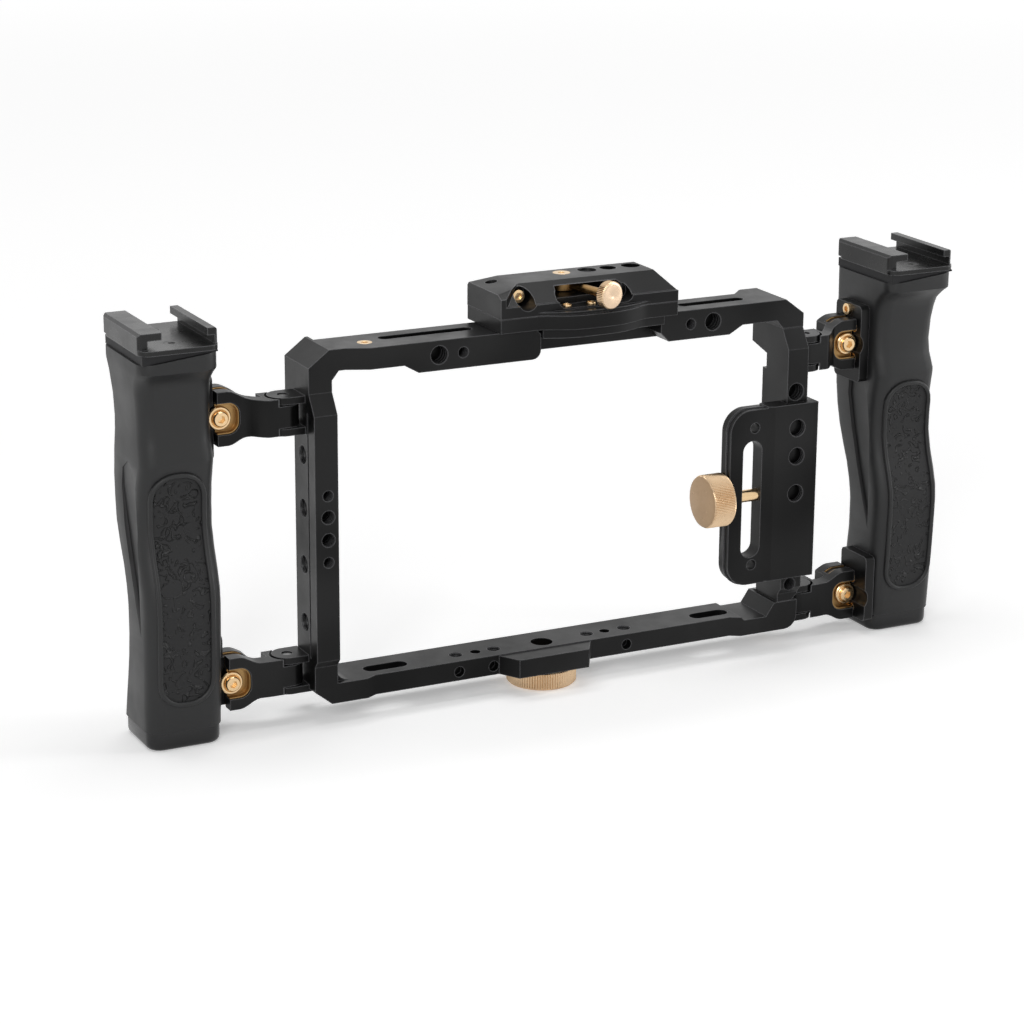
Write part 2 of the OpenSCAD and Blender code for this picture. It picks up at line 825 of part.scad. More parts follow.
// Front view of the right half: top bracket and right post
module right_outline() {
    end = post_in - right_bracket_l;
    step = post_in - right_step_in;
    polygon(concat(
        [[end, frame_top - end_chamfer], [end + end_chamfer, frame_top]],
        [[post_out - outer_chamfer_w, frame_top], [post_out, frame_top - outer_chamfer_h]],
        [[post_out, frame_bottom + hook_h + post_end_chamfer]],
        [[post_out - post_end_chamfer, frame_bottom + hook_h], [post_in, frame_bottom + hook_h]],
        [[post_in, bracket_bottom + step_h - inner_chamfer_h]],
        [[post_in - inner_chamfer_w, bracket_bottom + step_h], [step, bracket_bottom + step_h]],
        [[step - right_step_w, bracket_bottom], [end + end_round, bracket_bottom]],
        [[end, bracket_bottom + end_round]]));
}

module right_frame() {
    end = post_in - right_bracket_l;
    pad_back = post_back + corner_depth;
    color("#26272a") difference() {
        union() {
            intersection() {
                union() {
                    along_x(post_in, post_out) post_profile(right_top_flat);
                    along_z(bracket_bottom, frame_top) polygon([
                        [end, right_bracket_front], [post_out, right_bracket_front],
                        [post_out, pad_back], [post_in - right_back_flat, pad_back],
                        [post_in - right_back_flat - right_back_ramp, bar_back],
                        [end, bar_back]]);
                }
                along_y(-post_ahead, post_back + corner_depth) right_outline();
            }
            for (side = [-1, 1]) post_lug(upper_arm_z, side);
            post_lug(right_lower_z, 1);
        }
        lug_bores(right_arm_zs);
        post_groove();
        bar_channel();
        bar_screw_bores();
        front_bore(post_in + post_hole_in, post_front, frame_bottom + right_high_hole_z,
            large_bore_d, large_hole_depth);
        front_bore(post_in + post_hole_in, post_front, frame_bottom + right_low_hole_z,
            medium_bore_d, low_hole_depth);
        front_bore(post_in - right_bracket_small_in, right_bracket_front,
            bracket_bottom + bracket_hole_z, small_bore_d, pin_hole_depth);
        front_bore(post_in - right_bracket_large_in, right_bracket_front,
            bracket_bottom + bracket_hole_z, large_bore_d, large_hole_depth);
        along_z(frame_top - top_slot_depth, frame_top + over)
            slot_outline(post_in - right_slot_in - right_slot_l, post_in - right_slot_in,
                post_front + top_slot_back, top_slot_w);
        hook_screw_place() translate([0, 0, -hook_screw_l])
            cylinder(d = hook_screw_d + 2 * screw_play, h = hook_screw_l + over);
    }
}

module bridge_bar() {
    color("#1f2023") difference() {
        along_y(bar_front, bar_back) bar_outline();
        bar_screw_bores();
        bar_screw_places() rotate([-90, 0, 0])
            cylinder(d = bar_screw_head_d + 2 * screw_play, h = bar_screw_head_h + over);
        base_screw_places() {
            cylinder(d = base_screw_head_d + 2 * screw_play, h = base_screw_head_h + over);
            translate([0, 0, -base_screw_l])
                cylinder(d = base_screw_d + 2 * screw_play, h = base_screw_l + over);
        }
    }
}

module bridge_screws() {
    color("#3a3b3e") bar_screw_places() rotate([-90, 0, 0])
        screw(bar_screw_head_d, bar_screw_head_h, bar_screw_d, bar_screw_l, socket_d, socket_h);
}

module corner_screw() {
    color("#c9a56a") corner_screw_place()
        screw(corner_screw_head_d, corner_screw_head_h, corner_screw_d, corner_screw_l,
            small_socket_d, socket_h);
}

module hook_screw() {
    color("#c9a56a") hook_screw_place()
        screw(hook_screw_head_d, hook_screw_head_h, hook_screw_d, hook_screw_l, socket_d, socket_h);
}

module hinge_pins(heights) {
    pin_h = fork_h - 2 * pin_sink;
    color("#8d8f93") for (z = heights) translate([hinge_x, hinge_y, z - pin_h / 2])
        cylinder(d = pin_d, h = pin_h);
}

// Front bulge of the clamp, from 0 at its ends to 1 in its middle
function bulge(x) = let (t = abs(x - bulge_x) / bulge_half_w)
    t >= 1 ? 0 : (1 + cos(180 * pow(t, bulge_power))) / 2;

// Plan of one layer of the clamp, whose front bulges forward
module clamp_plan(left, right, front, back, out) {
    step = (right - left) / bulge_steps;
    polygon(concat(
        [for (i = [0 : bulge_steps]) let (x = left + i * step) [x, front - out * bulge(x)]],
        [[right, back], [left, back]]));
}

module base_screw_places() {
    for (x = [keel_left + base_screw_in, keel_right - base_screw_in])
        translate([x, (bar_front + bar_back) / 2, bracket_bottom + base_screw_head_h])
            rotate([180, 0, 0]) children();
}

module body_screw_places() {
    for (x = body_screw_xs) translate([clamp_x + x, body_screw_y, eye_floor]) children();
}

module body_screw_bores() {
    body_screw_places() translate([0, 0, -body_screw_l])
        cylinder(d = body_screw_d + 2 * screw_play, h = body_screw_l + over);
}

module clamp_base() {
    color("#26272a") difference() {
        union() {
            along_z(clamp_base_bottom, clamp_base_top)
                clamp_plan(clamp_left, clamp_right, -clamp_front, clamp_back, bulge_out);
            along_z(bar_top, clamp_base_bottom + over)
                clamp_plan(keel_left, keel_right, -clamp_front + keel_in, bar_back, keel_out);
        }
        base_screw_places() translate([0, 0, -base_screw_l])
            cylinder(d = base_screw_d + 2 * screw_play, h = base_screw_l + over);
        body_screw_bores();
    }
}

module clamp_base_screws() {
    color("#3a3b3e") base_screw_places()
        screw(base_screw_head_d, base_screw_head_h, base_screw_d, base_screw_l, socket_d, socket_h);
}

// Side view of the clamp's body, chamfered at the back
module clamp_side() {
    polygon([
        [-clamp_front, clamp_base_top], [-clamp_front, clamp_top - horn_drop],
        [-clamp_front + horn_slope, clamp_top], [clamp_back - back_chamfer, clamp_top],
        [clamp_back, clamp_top - back_chamfer], [clamp_back, clamp_base_top]]);
}

// Front view of the clamp's body
module clamp_outline() {
    polygon([
        [clamp_left, clamp_base_top], [clamp_right, clamp_base_top],
        [clamp_right, clamp_top - slope_end_h], [clamp_right - slope_end_w, clamp_top],
        [clamp_left + top_end_slope_w, clamp_top], [clamp_left, clamp_top - top_end_slope_h]]);
}

// Slope cut into the body's front, right of the horn at its left end
module clamp_slope() {
    low = clamp_base_top + lip_rise;
    intersection() {
        along_x(clamp_left - over, clamp_right + over) polygon([
            [-clamp_front - over, low], [-clamp_front + lip_ledge, low],
            [-slope_back, clamp_top], [-slope_back, clamp_top + over],
            [-clamp_front - over, clamp_top + over]]);
        along_z(low, clamp_top + over) polygon([
            [clamp_left + horn_w, -clamp_front - over], [clamp_left + horn_w, -clamp_front],
            [clamp_left + horn_w + horn_skew, -slope_back + over],
            [clamp_right + over, -slope_back + over], [clamp_right + over, -clamp_front - over]]);
    }
}

// Fan-shaped space in which the lever swings, open to the front
module clamp_cavity() {
    along_z(slot_floor, slot_roof) {
        translate([pivot_x, pivot_y]) circle(rotor_r + gap);
        polygon([[pivot_x - rotor_r, pivot_y], [pivot_x - cavity_left, -cavity_front],
            [pivot_x + cavity_right, -cavity_front], [pivot_x + rotor_r, pivot_y]]);
    }
    along_y(-clamp_front - over, -cavity_front + over)
        slot_outline(pivot_x - eye_left, pivot_x + eye_right, eye_floor + eye_h / 2, eye_h);
    along_z(eye_floor, slot_floor + over) polygon([for (i = [0 : eye_steps])
        let (a = i * 180 / eye_steps)
        [bulge_x + eye_half_w * cos(a), -clamp_front - lip_out - over
            + (eye_d + lip_out + over) * sin(a)]]);
}

module clamp_body() {
    color("#26272a") difference() {
        union() {
            intersection() {
                along_x(clamp_left, clamp_right) clamp_side();
                along_y(-clamp_front, clamp_back) clamp_outline();
            }
            along_z(clamp_base_top, clamp_base_top + lip_h)
                clamp_plan(clamp_left, clamp_right, -clamp_front, 0, lip_out);
        }
        clamp_slope();
        clamp_cavity();
        body_screw_bores();
        body_screw_places() cylinder(d = body_screw_head_d + 2 * gap, h = slot_floor - eye_floor);
        translate([pivot_x, pivot_y, clamp_top]) {
            translate([0, 0, -pivot_screw_head_h])
                cylinder(d = pivot_screw_head_d + 2 * screw_play, h = pivot_screw_head_h + over);
            translate([0, 0, -pivot_screw_head_h - pivot_screw_l])
                cylinder(d = pivot_screw_d + 2 * screw_play, h = pivot_screw_l + over);
        }
        for (i = [0 : 2])
            top_bore(pivot_x + clamp_hole_offsets[i], pivot_y, clamp_top, clamp_hole_ds[i],
                clamp_hole_depths[i]);
        top_bore(key_hole_x, pivot_y, clamp_top, key_hole_d, key_hole_depth);
        translate([front_bore_x, -clamp_front + front_bore_back, clamp_base_top + front_bore_z])
            rotate([90, 0, 0]) {
                cylinder(d = front_bore_d, h = clamp_front);
                translate([0, 0, -front_screw_l])
                    cylinder(d = front_screw_d + 2 * screw_play, h = front_screw_l + over);
            }
    }
}

module clamp_body_screws() {
    color("#c9a56a") body_screw_places()
        screw(body_screw_head_d, body_screw_head_h, body_screw_d, body_screw_l,
            small_socket_d, body_screw_head_h / 2);
}

module at_lever() {
    translate([pivot_x, pivot_y, stem_z]) rotate([0, 0, lever_rest]) children();
}

module clamp_lever() {
    color("#b8935c") at_lever() difference() {
        union() {
            translate([0, 0, -rotor_h / 2]) cylinder(r = rotor_r, h = rotor_h);
            rotate([90, 0, 0]) cylinder(d = stem_d, h = lever_l - lever_knob_l);
        }
        translate([0, 0, -rotor_h])
            cylinder(d = pivot_screw_d + 2 * shaft_play, h = 2 * rotor_h);
    }
}

// Turned knob with chamfered rims, from z = 0 upward
module knob(d, l, rim) {
    rotate_extrude() polygon([
        [0, 0], [d / 2 - rim, 0], [d / 2, rim], [d / 2, l - rim], [d / 2 - rim, l], [0, l]]);
}

module clamp_lever_knob() {
    color("#c9a56a") at_lever() rotate([90, 0, 0])
        translate([0, 0, lever_l - lever_knob_l]) knob(lever_knob_d, lever_knob_l, knob_rim);
}

module clamp_pivot_screw() {
    color("#c9a56a") translate([pivot_x, pivot_y, clamp_top - pivot_screw_head_h])
        screw(pivot_screw_head_d, pivot_screw_head_h, pivot_screw_d, pivot_screw_l,
            small_socket_d, pivot_screw_head_h / 2);
}

module clamp_front_screw() {
    color("#c9a56a")
        translate([front_bore_x, -clamp_front + front_bore_back, clamp_base_top + front_bore_z])
            rotate([90, 0, 0]) screw(front_screw_head_d, front_screw_head_h, front_screw_d,
                front_screw_l, small_socket_d, socket_h);
}

// Slotted wing beside the right post, and the pad that wraps round the post's front
module side_bracket() {
    pad_right = post_out + gap + wrap_t;
    color("#26272a") difference() {
        union() {
            along_y(wing_front, wing_back) {
                rounded_outline(wing_left, wing_right, wing_bottom - wing_drop,
                    wing_top - wing_top_in, wing_corner_r);
                translate([wing_right - wing_corner_r, wing_bottom])
                    square([wing_corner_r, wing_h - wing_top_in]);
            }
            along_z(wing_bottom, wing_top) polygon([
                [post_in - pad_over - pad_ramp, wing_front], [post_in - pad_over, pad_front],
                [pad_right, pad_front],
                [pad_right, pad_front + pad_t + wrap_d],
                [pad_right - wrap_t, pad_front + pad_t + wrap_d],
                [pad_right - wrap_t, pad_front + pad_t], [wing_right, pad_front + pad_t],
                [wing_right, wing_back], [post_in - pad_over - pad_ramp, wing_back]]);
        }
        along_y(wing_front - over, wing_back + over) {
            x = wing_right - wing_slot_in;
            z0 = wing_bottom + wing_slot_low + wing_slot_w / 2;
            z1 = wing_top - wing_slot_high - wing_slot_w / 2;
            translate([x - wing_slot_w / 2, z0]) square([wing_slot_w, z1 - z0]);
            for (z = [z0, z1]) translate([x, z]) circle(d = wing_slot_w);
        }
        for (z = [wing_bottom + wing_hole_low, wing_top - wing_hole_high])
            front_bore(wing_right - wing_hole_in, wing_front, z, small_bore_d, wing_t + over);
        for (z = pad_holes)
            front_bore(post_in + pad_hole_in, pad_front, wing_bottom + z, large_bore_d,
                pad_t + over);
        side_bore(wing_left - over, wing_right + over, side_shank_y,
            wing_bottom + side_shank_rise, side_shank_d + 2 * shaft_play);
    }
}

module at_side_screw() {
    translate([wing_left - gap, side_shank_y, wing_bottom + side_shank_rise])
        rotate([0, -90, 0]) children();
}

module side_screw() {
    color("#c9a56a") at_side_screw() translate([0, 0, -wing_w - gap])
        cylinder(d = side_shank_d, h = wing_w + gap);
}

module side_knob() {
    color("#c9a56a") at_side_screw() knob(side_knob_d, side_knob_l, knob_rim);
}

module bottom_screw() {
    color("#c9a56a") translate([thumb_x, thumb_y, stand_gap + bottom_knob_h])
        cylinder(d = bottom_shank_d, h = rail_h + gap - thumb_tip_drop);
}

module bottom_knob() {
    color("#c9a56a") translate([thumb_x, thumb_y, stand_gap])
        knob(bottom_knob_d, bottom_knob_h, knob_rim);
}

// Half the height of an arm at a place along X: higher at its clamp head
function arm_half(x, head_x) = let (t = (x - head_x + head_slope_start) / head_slope_l)
    web_h / 2 + (head_h - web_h) / 2 * smooth(max(0, min(1, t)));

// Front view of an arm between two places along X, drawn in by an inset
module arm_outline(z, head_x, x0, x1, inset) {
    xs = [for (i = [0 : arm_steps]) x0 + (x1 - x0) * i / arm_steps];
    polygon(concat([for (x = xs) [x, z + arm_half(x, head_x) - inset]],
        [for (i = [arm_steps : -1 : 0]) [xs[i], z - arm_half(xs[i], head_x) + inset]]));
}

// Plan of an arm, whose front and back sweep from the hinge to the clamp head
module arm_plan(head_x, head_front) {
    end = plates_in - gap;
    x0 = hinge_x + lug_r + fork_clear;
    x1 = head_x - neck_in;
    front = hinge_y - lug_r;
    back = hinge_y + lug_r;
    ts = [for (i = [0 : arm_steps]) i / arm_steps];
    polygon(concat(
        [[hinge_x, front]],
        [for (t = ts) [x0 + (x1 - x0) * t, front + (head_front - front) * smooth(t)]],
        [[end, head_front], [end, head_front + head_d]],
        [for (i = [arm_steps : -1 : 0]) let (t = ts[i])
            [x0 + (x1 - x0) * t, back + (head_front + head_d - back) * smooth(t)]],
        [[hinge_x, back]]));
}

// Arm of the right handle, from its barrel between the post's lugs to its clamp head
module arm(z, head_front, head_x) {
    end = plates_in - gap;
    channel_x = hinge_x + lug_r + fork_clear + channel_wall;
    channel_end = head_x - neck_in - channel_wall;
    color("#26272a") difference() {
        intersection() {
            along_z(z - head_h, z + head_h) {
                translate([hinge_x, hinge_y]) circle(lug_r);
                arm_plan(head_x, head_front);
            }
            along_y(hinge_y - head_h, hinge_y + 2 * head_h)
                arm_outline(z, head_x, hinge_x - lug_r - over, end, 0);
        }
        for (z0 = [z - head_h, z + barrel_h / 2]) along_z(z0, z0 + head_h - barrel_h / 2) {
            translate([hinge_x, hinge_y]) circle(lug_r + fork_clear);
            translate([hinge_x - lug_r - over, hinge_y - lug_r - fork_clear])
                square([lug_r + over, 2 * (lug_r + fork_clear)]);
        }
        translate([hinge_x, hinge_y, z - fork_h])
            cylinder(d = pin_d + 2 * shaft_play, h = 2 * fork_h);
        along_z(z + web_h / 2 - channel_d, z + head_h) intersection() {
            translate([0, channel_front]) arm_plan(head_x, head_front);
            translate([channel_x, hinge_y - head_h])
                square([channel_end - channel_x, 3 * head_h]);
        }
        slab(head_x - neck_in, end + over, head_front + cheek_t, head_front + head_d - cheek_t,
            z - head_h, z + head_h);
        along_y(head_front - over, head_front + bolt_pocket_depth)
            pocket_outline(z, head_x, end + 2 * bolt_pocket_r, 0);
        bolt_bore(z, head_front, head_x);
    }
}

module bolt_bore(z, head_front, head_x) {
    translate([head_x, head_front + bolt_pocket_depth, z]) rotate([90, 0, 0])
        translate([0, 0, -bolt_l]) cylinder(d = bolt_d + 2 * screw_play, h = bolt_l + over);
}

// Pocket for a clamp bolt's head, open towards the handle
module pocket_outline(z, head_x, x1, inset) {
    rounded_outline(head_x - bolt_pocket_reach + inset, x1, z - bolt_pocket_h / 2 + inset,
        z + bolt_pocket_h / 2 - inset, bolt_pocket_r - inset);
}

// What may stand between the cheeks of a clamp head
module between_cheeks(z, head_front, head_x, inset, from, to, right) {
    difference() {
        along_y(head_front + from, head_front + to)
            arm_outline(z, head_x, head_x - neck_in + gap, right, inset);
        bolt_bore(z, head_front, head_x);
    }
}

// Brass washers between the cheeks, and the brass liner of each bolt's pocket
module brass_washers(heights, head_x) {
    end = plates_in - gap;
    color("#b98f45") for (i = [0, 1]) {
        z = heights[i];
        y = head_fronts[i];
        for (from = [cheek_t, head_d - cheek_t - washer_t])
            between_cheeks(z, y, head_x, washer_in, from, from + washer_t, end);
        difference() {
            intersection() {
                along_y(y + liner_set, y + bolt_pocket_depth)
                    pocket_outline(z, head_x, end + 2 * bolt_pocket_r, liner_play);
                slab(head_x - head_h, end, y, y + head_d, z - head_h, z + head_h);
            }
            along_y(y, y + bolt_pocket_depth - liner_t)
                pocket_outline(z, head_x, end + 2 * bolt_pocket_r, liner_t + liner_play);
            bolt_bore(z, y, head_x);
        }
    }
}

module clamp_bolts(heights, head_x) {
    color("#c9a56a") for (i = [0, 1])
        translate([head_x, head_fronts[i] + bolt_pocket_depth - liner_t, heights[i]])
            rotate([90, 0, 0]) screw(bolt_head_d, bolt_head_h, bolt_d, bolt_l - over,
                bolt_socket_d, bolt_socket_h);
}

// Plate on a handle's inner face, with the lug that the clamp head grips
module mounting_plate(i, heights, head_x, fronts, width, sunk_ys) {
    z = heights[i];
    y0 = fronts[i];
    z0 = z - plate_downs[i];
    color("#1f2023") difference() {
        union() {
            along_x(plates_in, grip_in)
                rounded_outline(y0, y0 + width, z0, z0 + plate_hs[i], plate_corner_r);
            between_cheeks(z, head_fronts[i], head_x, lug_play, cheek_t + washer_t,
                head_d - cheek_t - washer_t, plates_in + over);
        }
        along_y(y0 - over, head_fronts[i] + bolt_pocket_depth + gap)
            translate([head_x, z]) circle(d = bolt_head_d + 2 * gap);
        bolt_bore(z, head_fronts[i], head_x);
        plate_screw_place(i, heights, fronts, width)
            plate_screw_room(plate_screw_head_d, plate_screw_sink);
        sunk_screw_places(i, heights, sunk_ys)
            plate_screw_room(sunk_screw_head_d, plate_screw_head_h);
    }
}

module plate_screw_room(head_d, sink) {
    translate([0, 0, -sink]) cylinder(d = head_d + 2 * screw_play, h = plate_t);
    translate([0, 0, -plate_t - over])
        cylinder(d = plate_screw_d + 2 * screw_play, h = plate_t + over);
}

// Place of the upper plate's domed screw, above the clamp head
module plate_screw_place(i, heights, fronts, width) {
    z = heights[i] - plate_downs[i] + plate_hs[i] - plate_screw_edge;
    if (i == 0) translate([plates_in, fronts[i] + width / 2, z]) rotate([0, -90, 0]) children();
}

// Places of a plate's two flush screws, hidden behind a cheek of the clamp head
module sunk_screw_places(i, heights, sunk_ys) {
    for (side = [-1, 1])
        translate([plates_in, sunk_ys[i], heights[i] + side * sunk_screw_out])
            rotate([0, -90, 0]) children();
}

module plate_screws(heights, fronts, width, sunk_ys) {
    color("#c9a56a") for (i = [0, 1]) {
        plate_screw_place(i, heights, fronts, width) translate([0, 0, -plate_screw_sink])
            screw(plate_screw_head_d, plate_screw_head_h, plate_screw_d, plate_screw_l,
                small_socket_d, socket_h);
        sunk_screw_places(i, heights, sunk_ys) translate([0, 0, -plate_screw_head_h])
            screw(sunk_screw_head_d, plate_screw_head_h, plate_screw_d, plate_screw_l,
                small_socket_d, socket_h);
    }
}

// Bores in a handle for the screws of its plates
module plate_screw_bores(heights, fronts, width, sunk_ys) {
    for (i = [0, 1]) {
        plate_screw_place(i, heights, fronts, width)
            translate([0, 0, -plate_screw_sink - plate_screw_l])
                cylinder(d = plate_screw_d + 2 * screw_play, h = plate_screw_l + plate_t);
        sunk_screw_places(i, heights, sunk_ys)
            translate([0, 0, -plate_screw_head_h - plate_screw_l])
                cylinder(d = plate_screw_d + 2 * screw_play, h = plate_screw_l + plate_t);
    }
}

// One ring of a handle: a rectangle with round corners, drawn in by an inset
function grip_ring(z, front, back, outer, inset, tilt) =
    let (x0 = grip_in + inset, x1 = grip_out - outer * grip_w - inset,
        y0 = -grip_d / 2 * front + inset, y1 = grip_d / 2 * back - inset,
        rf = front_corner_r - inset, rb = back_corner_r - inset)
    [for (p = concat(turn(x0 + rf, y0 + rf, rf, 180, 90, corner_points),
            turn(x1 - rf, y0 + rf, rf, 270, 90, corner_points),
            turn(x1 - rb, y1 - rb, rb, 0, 90, corner_points),
            turn(x0 + rb, y1 - rb, rb, 90, 90, corner_points)))
        [p[0], p[1], z + tilt * (p[0] - grip_in) / grip_w]];

// Solid through a stack of rings, each listed anticlockwise from above
module loft(rings) {
    n = len(rings[0]);
    last = len(rings) - 1;
    polyhedron(
        points = [for (ring = rings) each ring],
        faces = concat(
            [[for (i = [0 : n - 1]) i]],
            [[for (i = [n - 1 : -1 : 0]) last * n + i]],
            [for (r = [0 : last - 1], i = [0 : n - 1]) let (a = r * n + i, b = r * n + (i + 1) % n)
                [a, a + n, b + n]],
            [for (r = [0 : last - 1], i = [0 : n - 1]) let (a = r * n + i, b = r * n + (i + 1) % n)
                [a, b + n, b]]));
}

function grip_z(share) = cap_h + share * grip_body_h;

function grip_front_at(z) = -grip_d / 2 * lookup((z - cap_h) / grip_body_h,
    [for (row = grip_shares) [row[0], row[1]]]);

// Rows of the inlay from bottom to top, closer together in its round ends
function inlay_zs(z0, z1, r) = concat(
    [for (i = [0 : inlay_end_rows]) z0 + r * (1 - cos(i * 90 / inlay_end_rows))],
    [for (i = [1 : inlay_rows - 1]) z0 + r + (z1 - z0 - 2 * r) * i / inlay_rows],
    [for (i = [inlay_end_rows : -1 : 0]) z1 - r * (1 - cos(i * 90 / inlay_end_rows))]);

// Rubber inlay, grown by its play and reaching ahead of the handle's front
module inlay_solid(grow, ahead) {
    z0 = cap_h + inlay_rise - grow;
    z1 = cap_h + inlay_rise + inlay_h + grow;
    r = inlay_corner_r + grow;
    x = (grip_in + grip_out) / 2 + inlay_shift;
    loft([for (z = inlay_zs(z0, z1, r))
        let (d = min(r, z - z0, z1 - z), half = inlay_w / 2 + grow - r + sqrt(r * r - (r - d) * (r - d)),
            y = grip_front_at(z))
        [[x - half, y - ahead, z], [x + half, y - ahead, z],
            [x + half, y + inlay_t + grow, z], [x - half, y + inlay_t + grow, z]]]);
}

// Body of the right handle; toward is 1 where its top rises outward, -1 inward
module grip_body(toward) {
    last = len(grip_shares) - 1;
    rise = grip_top_rise * toward;
    base = toward > 0 ? 0 : grip_top_rise;
    groove = [for (p = side_groove_shares) [p[0] * grip_d / 2, grip_z(p[1])]];
    color("#3b3c3f") difference() {
        loft([for (i = [0 : last]) let (row = grip_shares[i])
            grip_ring(grip_z(row[0]) + (i == last ? base : 0), row[1], row[2], row[3], 0,
                i == last ? rise : 0)]);
        inlay_solid(inlay_play, inlay_depth_ahead);
        along_x(grip_in - over, grip_in + side_groove_d) polygon(groove);
        along_x(grip_out - side_groove_d - outer_draw, grip_out + over) polygon(groove);
        if (toward > 0)
            plate_screw_bores(right_arm_zs, right_plate_fronts, plate_w, right_sunk_ys);
        else
            plate_screw_bores(left_arm_zs, left_plate_fronts, left_plate_w, left_sunk_ys);
        cap_screw_place() translate([0, 0, -cap_screw_l])
            cylinder(d = cap_screw_d + 2 * screw_play, h = cap_screw_l + over);
        shoe_screw_bores();
    }
}

module cap_screw_place() {
    translate([(grip_in + grip_out) / 2, grip_d / 2 * (grip_shares[0][2] - grip_shares[0][1]) / 2,
        cap_screw_sink + cap_screw_head_h]) rotate([180, 0, 0]) children();
}

module end_cap() {
    row = grip_shares[0];
    color("#141517") difference() {
        loft(concat(
            [for (i = [0 : cap_round_rows]) let (a = i * 90 / cap_round_rows)
                grip_ring(cap_round * (1 - cos(a)), row[1], row[2], row[3],
                    cap_inset + cap_round * (1 - sin(a)), 0)],
            [grip_ring(cap_h, row[1], row[2], row[3], cap_inset, 0)]));
        cap_screw_place() {
            cylinder(d = cap_screw_head_d + 2 * screw_play, h = cap_screw_head_h + over);
            translate([0, 0, -cap_screw_l])
                cylinder(d = cap_screw_d + 2 * screw_play, h = cap_screw_l + over);
        }
    }
}

module cap_screw() {
    color("#3a3b3e") cap_screw_place()
        screw(cap_screw_head_d, cap_screw_head_h, cap_screw_d, cap_screw_l, socket_d, socket_h);
}

module shoe_screw_places() {
    for (y = [-shoe_screw_pitch / 2, shoe_screw_pitch / 2])
        translate([(grip_in + grip_out) / 2, y, shoe_floor - shoe_screw_head_h]) children();
}

module shoe_screw_bores() {
    shoe_screw_places() translate([0, 0, -shoe_screw_l])
        cylinder(d = shoe_screw_d + 2 * screw_play, h = shoe_screw_l + over);
}

// Wedge that levels the handle's sloping top for the shoe
module spacer(toward) {
    x0 = grip_in + spacer_inset;
    x1 = grip_out - spacer_inset;
    drop = grip_top_rise * spacer_inset / grip_w;
    low = grip_top + drop + spacer_seat;
    high = grip_top + grip_top_rise - drop + spacer_seat;
    color("#141517") difference() {
        along_y(-grip_d / 2 + spacer_inset, grip_d / 2 - spacer_inset) polygon([
            [x0, toward > 0 ? low : high], [x1, toward > 0 ? high : low],
            [x1, shoe_bottom], [x0, shoe_bottom]]);
        shoe_screw_bores();
    }
}

// Cold shoe whose narrow rail is at its +X edge, drawn from its -X edge
module cold_shoe() {
    color("#1b1c1e") difference() {
        intersection() {
            union() {
                along_z(shoe_bottom, shoe_floor)
                    rounded_outline(0, grip_w, -grip_d / 2, -grip_d / 2 + shoe_l, shoe_corner_r);
                along_z(shoe_floor - shoe_floor_t / 2, shoe_top)
                    rounded_outline(0, grip_w, -grip_d / 2 + shoe_rail_set,
                        -grip_d / 2 + shoe_l, shoe_rail_r);
            }
            along_y(-grip_d / 2, -grip_d / 2 + shoe_l) polygon([
                [0, shoe_bottom], [grip_w, shoe_bottom], [grip_w, shoe_top - shoe_edge],
                [grip_w - shoe_edge, shoe_top], [shoe_right_lip_x, shoe_top],
                [shoe_right_lip_x, shoe_lip], [shoe_right_wall_x, shoe_lip],
                [shoe_right_wall_x, shoe_floor], [shoe_left_wall_x, shoe_floor],
                [shoe_left_wall_x, shoe_lip], [shoe_left_lip_x, shoe_lip],
                [shoe_left_lip_x, shoe_top], [shoe_edge, shoe_top], [0, shoe_top - shoe_edge]]);
        }
        translate([-grip_in, 0, 0]) {
            shoe_screw_bores();
            shoe_screw_places() cylinder(d = shoe_screw_head_d + 2 * screw_play,
                h = shoe_screw_head_h + over);
        }
    }
}

module shoe_screws() {
    color("#3a3b3e") shoe_screw_places()
        screw(shoe_screw_head_d, shoe_screw_head_h, shoe_screw_d, shoe_screw_l,
            small_socket_d, shoe_screw_head_h / 2);
}

module inlay() {
    color("#222325") inlay_solid(0, inlay_proud);
}

placed() left_frame();
placed() right_frame();
placed() bridge_bar();
placed() bridge_screws();
placed() corner_screw();
placed() hook_screw();
placed() mirrored(-1) hinge_pins(left_arm_zs);  // hinge_pins_left
placed() hinge_pins(right_arm_zs);  // hinge_pins_right
placed() clamp_base();
placed() clamp_base_screws();
placed() clamp_body();
placed() clamp_body_screws();
placed() clamp_lever();
placed() clamp_lever_knob();
placed() clamp_pivot_screw();
placed() clamp_front_screw();
placed() side_bracket();
placed() side_screw();
placed() side_knob();
placed() bottom_screw();
placed() bottom_knob();
placed()  // left_upper_arm
    mirrored(-1) arm(upper_arm_z, head_fronts[0], left_head_x);
placed()  // left_lower_arm
    mirrored(-1) arm(left_lower_z, head_fronts[1], left_head_x);
placed()  // right_upper_arm
    arm(upper_arm_z, head_fronts[0], right_head_x);
placed()  // right_lower_arm
    arm(right_lower_z, head_fronts[1], right_head_x);
placed()  // clamp_bolts_left
    mirrored(-1) clamp_bolts(left_arm_zs, left_head_x);
placed()  // clamp_bolts_right
    clamp_bolts(right_arm_zs, right_head_x);
placed()  // brass_washers_left
    mirrored(-1) brass_washers(left_arm_zs, left_head_x);
placed()  // brass_washers_right
    brass_washers(right_arm_zs, right_head_x);
placed() mirrored(-1)  // left_upper_plate
    mounting_plate(0, left_arm_zs, left_head_x, left_plate_fronts, left_plate_w, left_sunk_ys);
placed() mirrored(-1)  // left_lower_plate
    mounting_plate(1, left_arm_zs, left_head_x, left_plate_fronts, left_plate_w, left_sunk_ys);
placed()  // right_upper_plate
    mounting_plate(0, right_arm_zs, right_head_x, right_plate_fronts, plate_w, right_sunk_ys);
placed()  // right_lower_plate
    mounting_plate(1, right_arm_zs, right_head_x, right_plate_fronts, plate_w, right_sunk_ys);
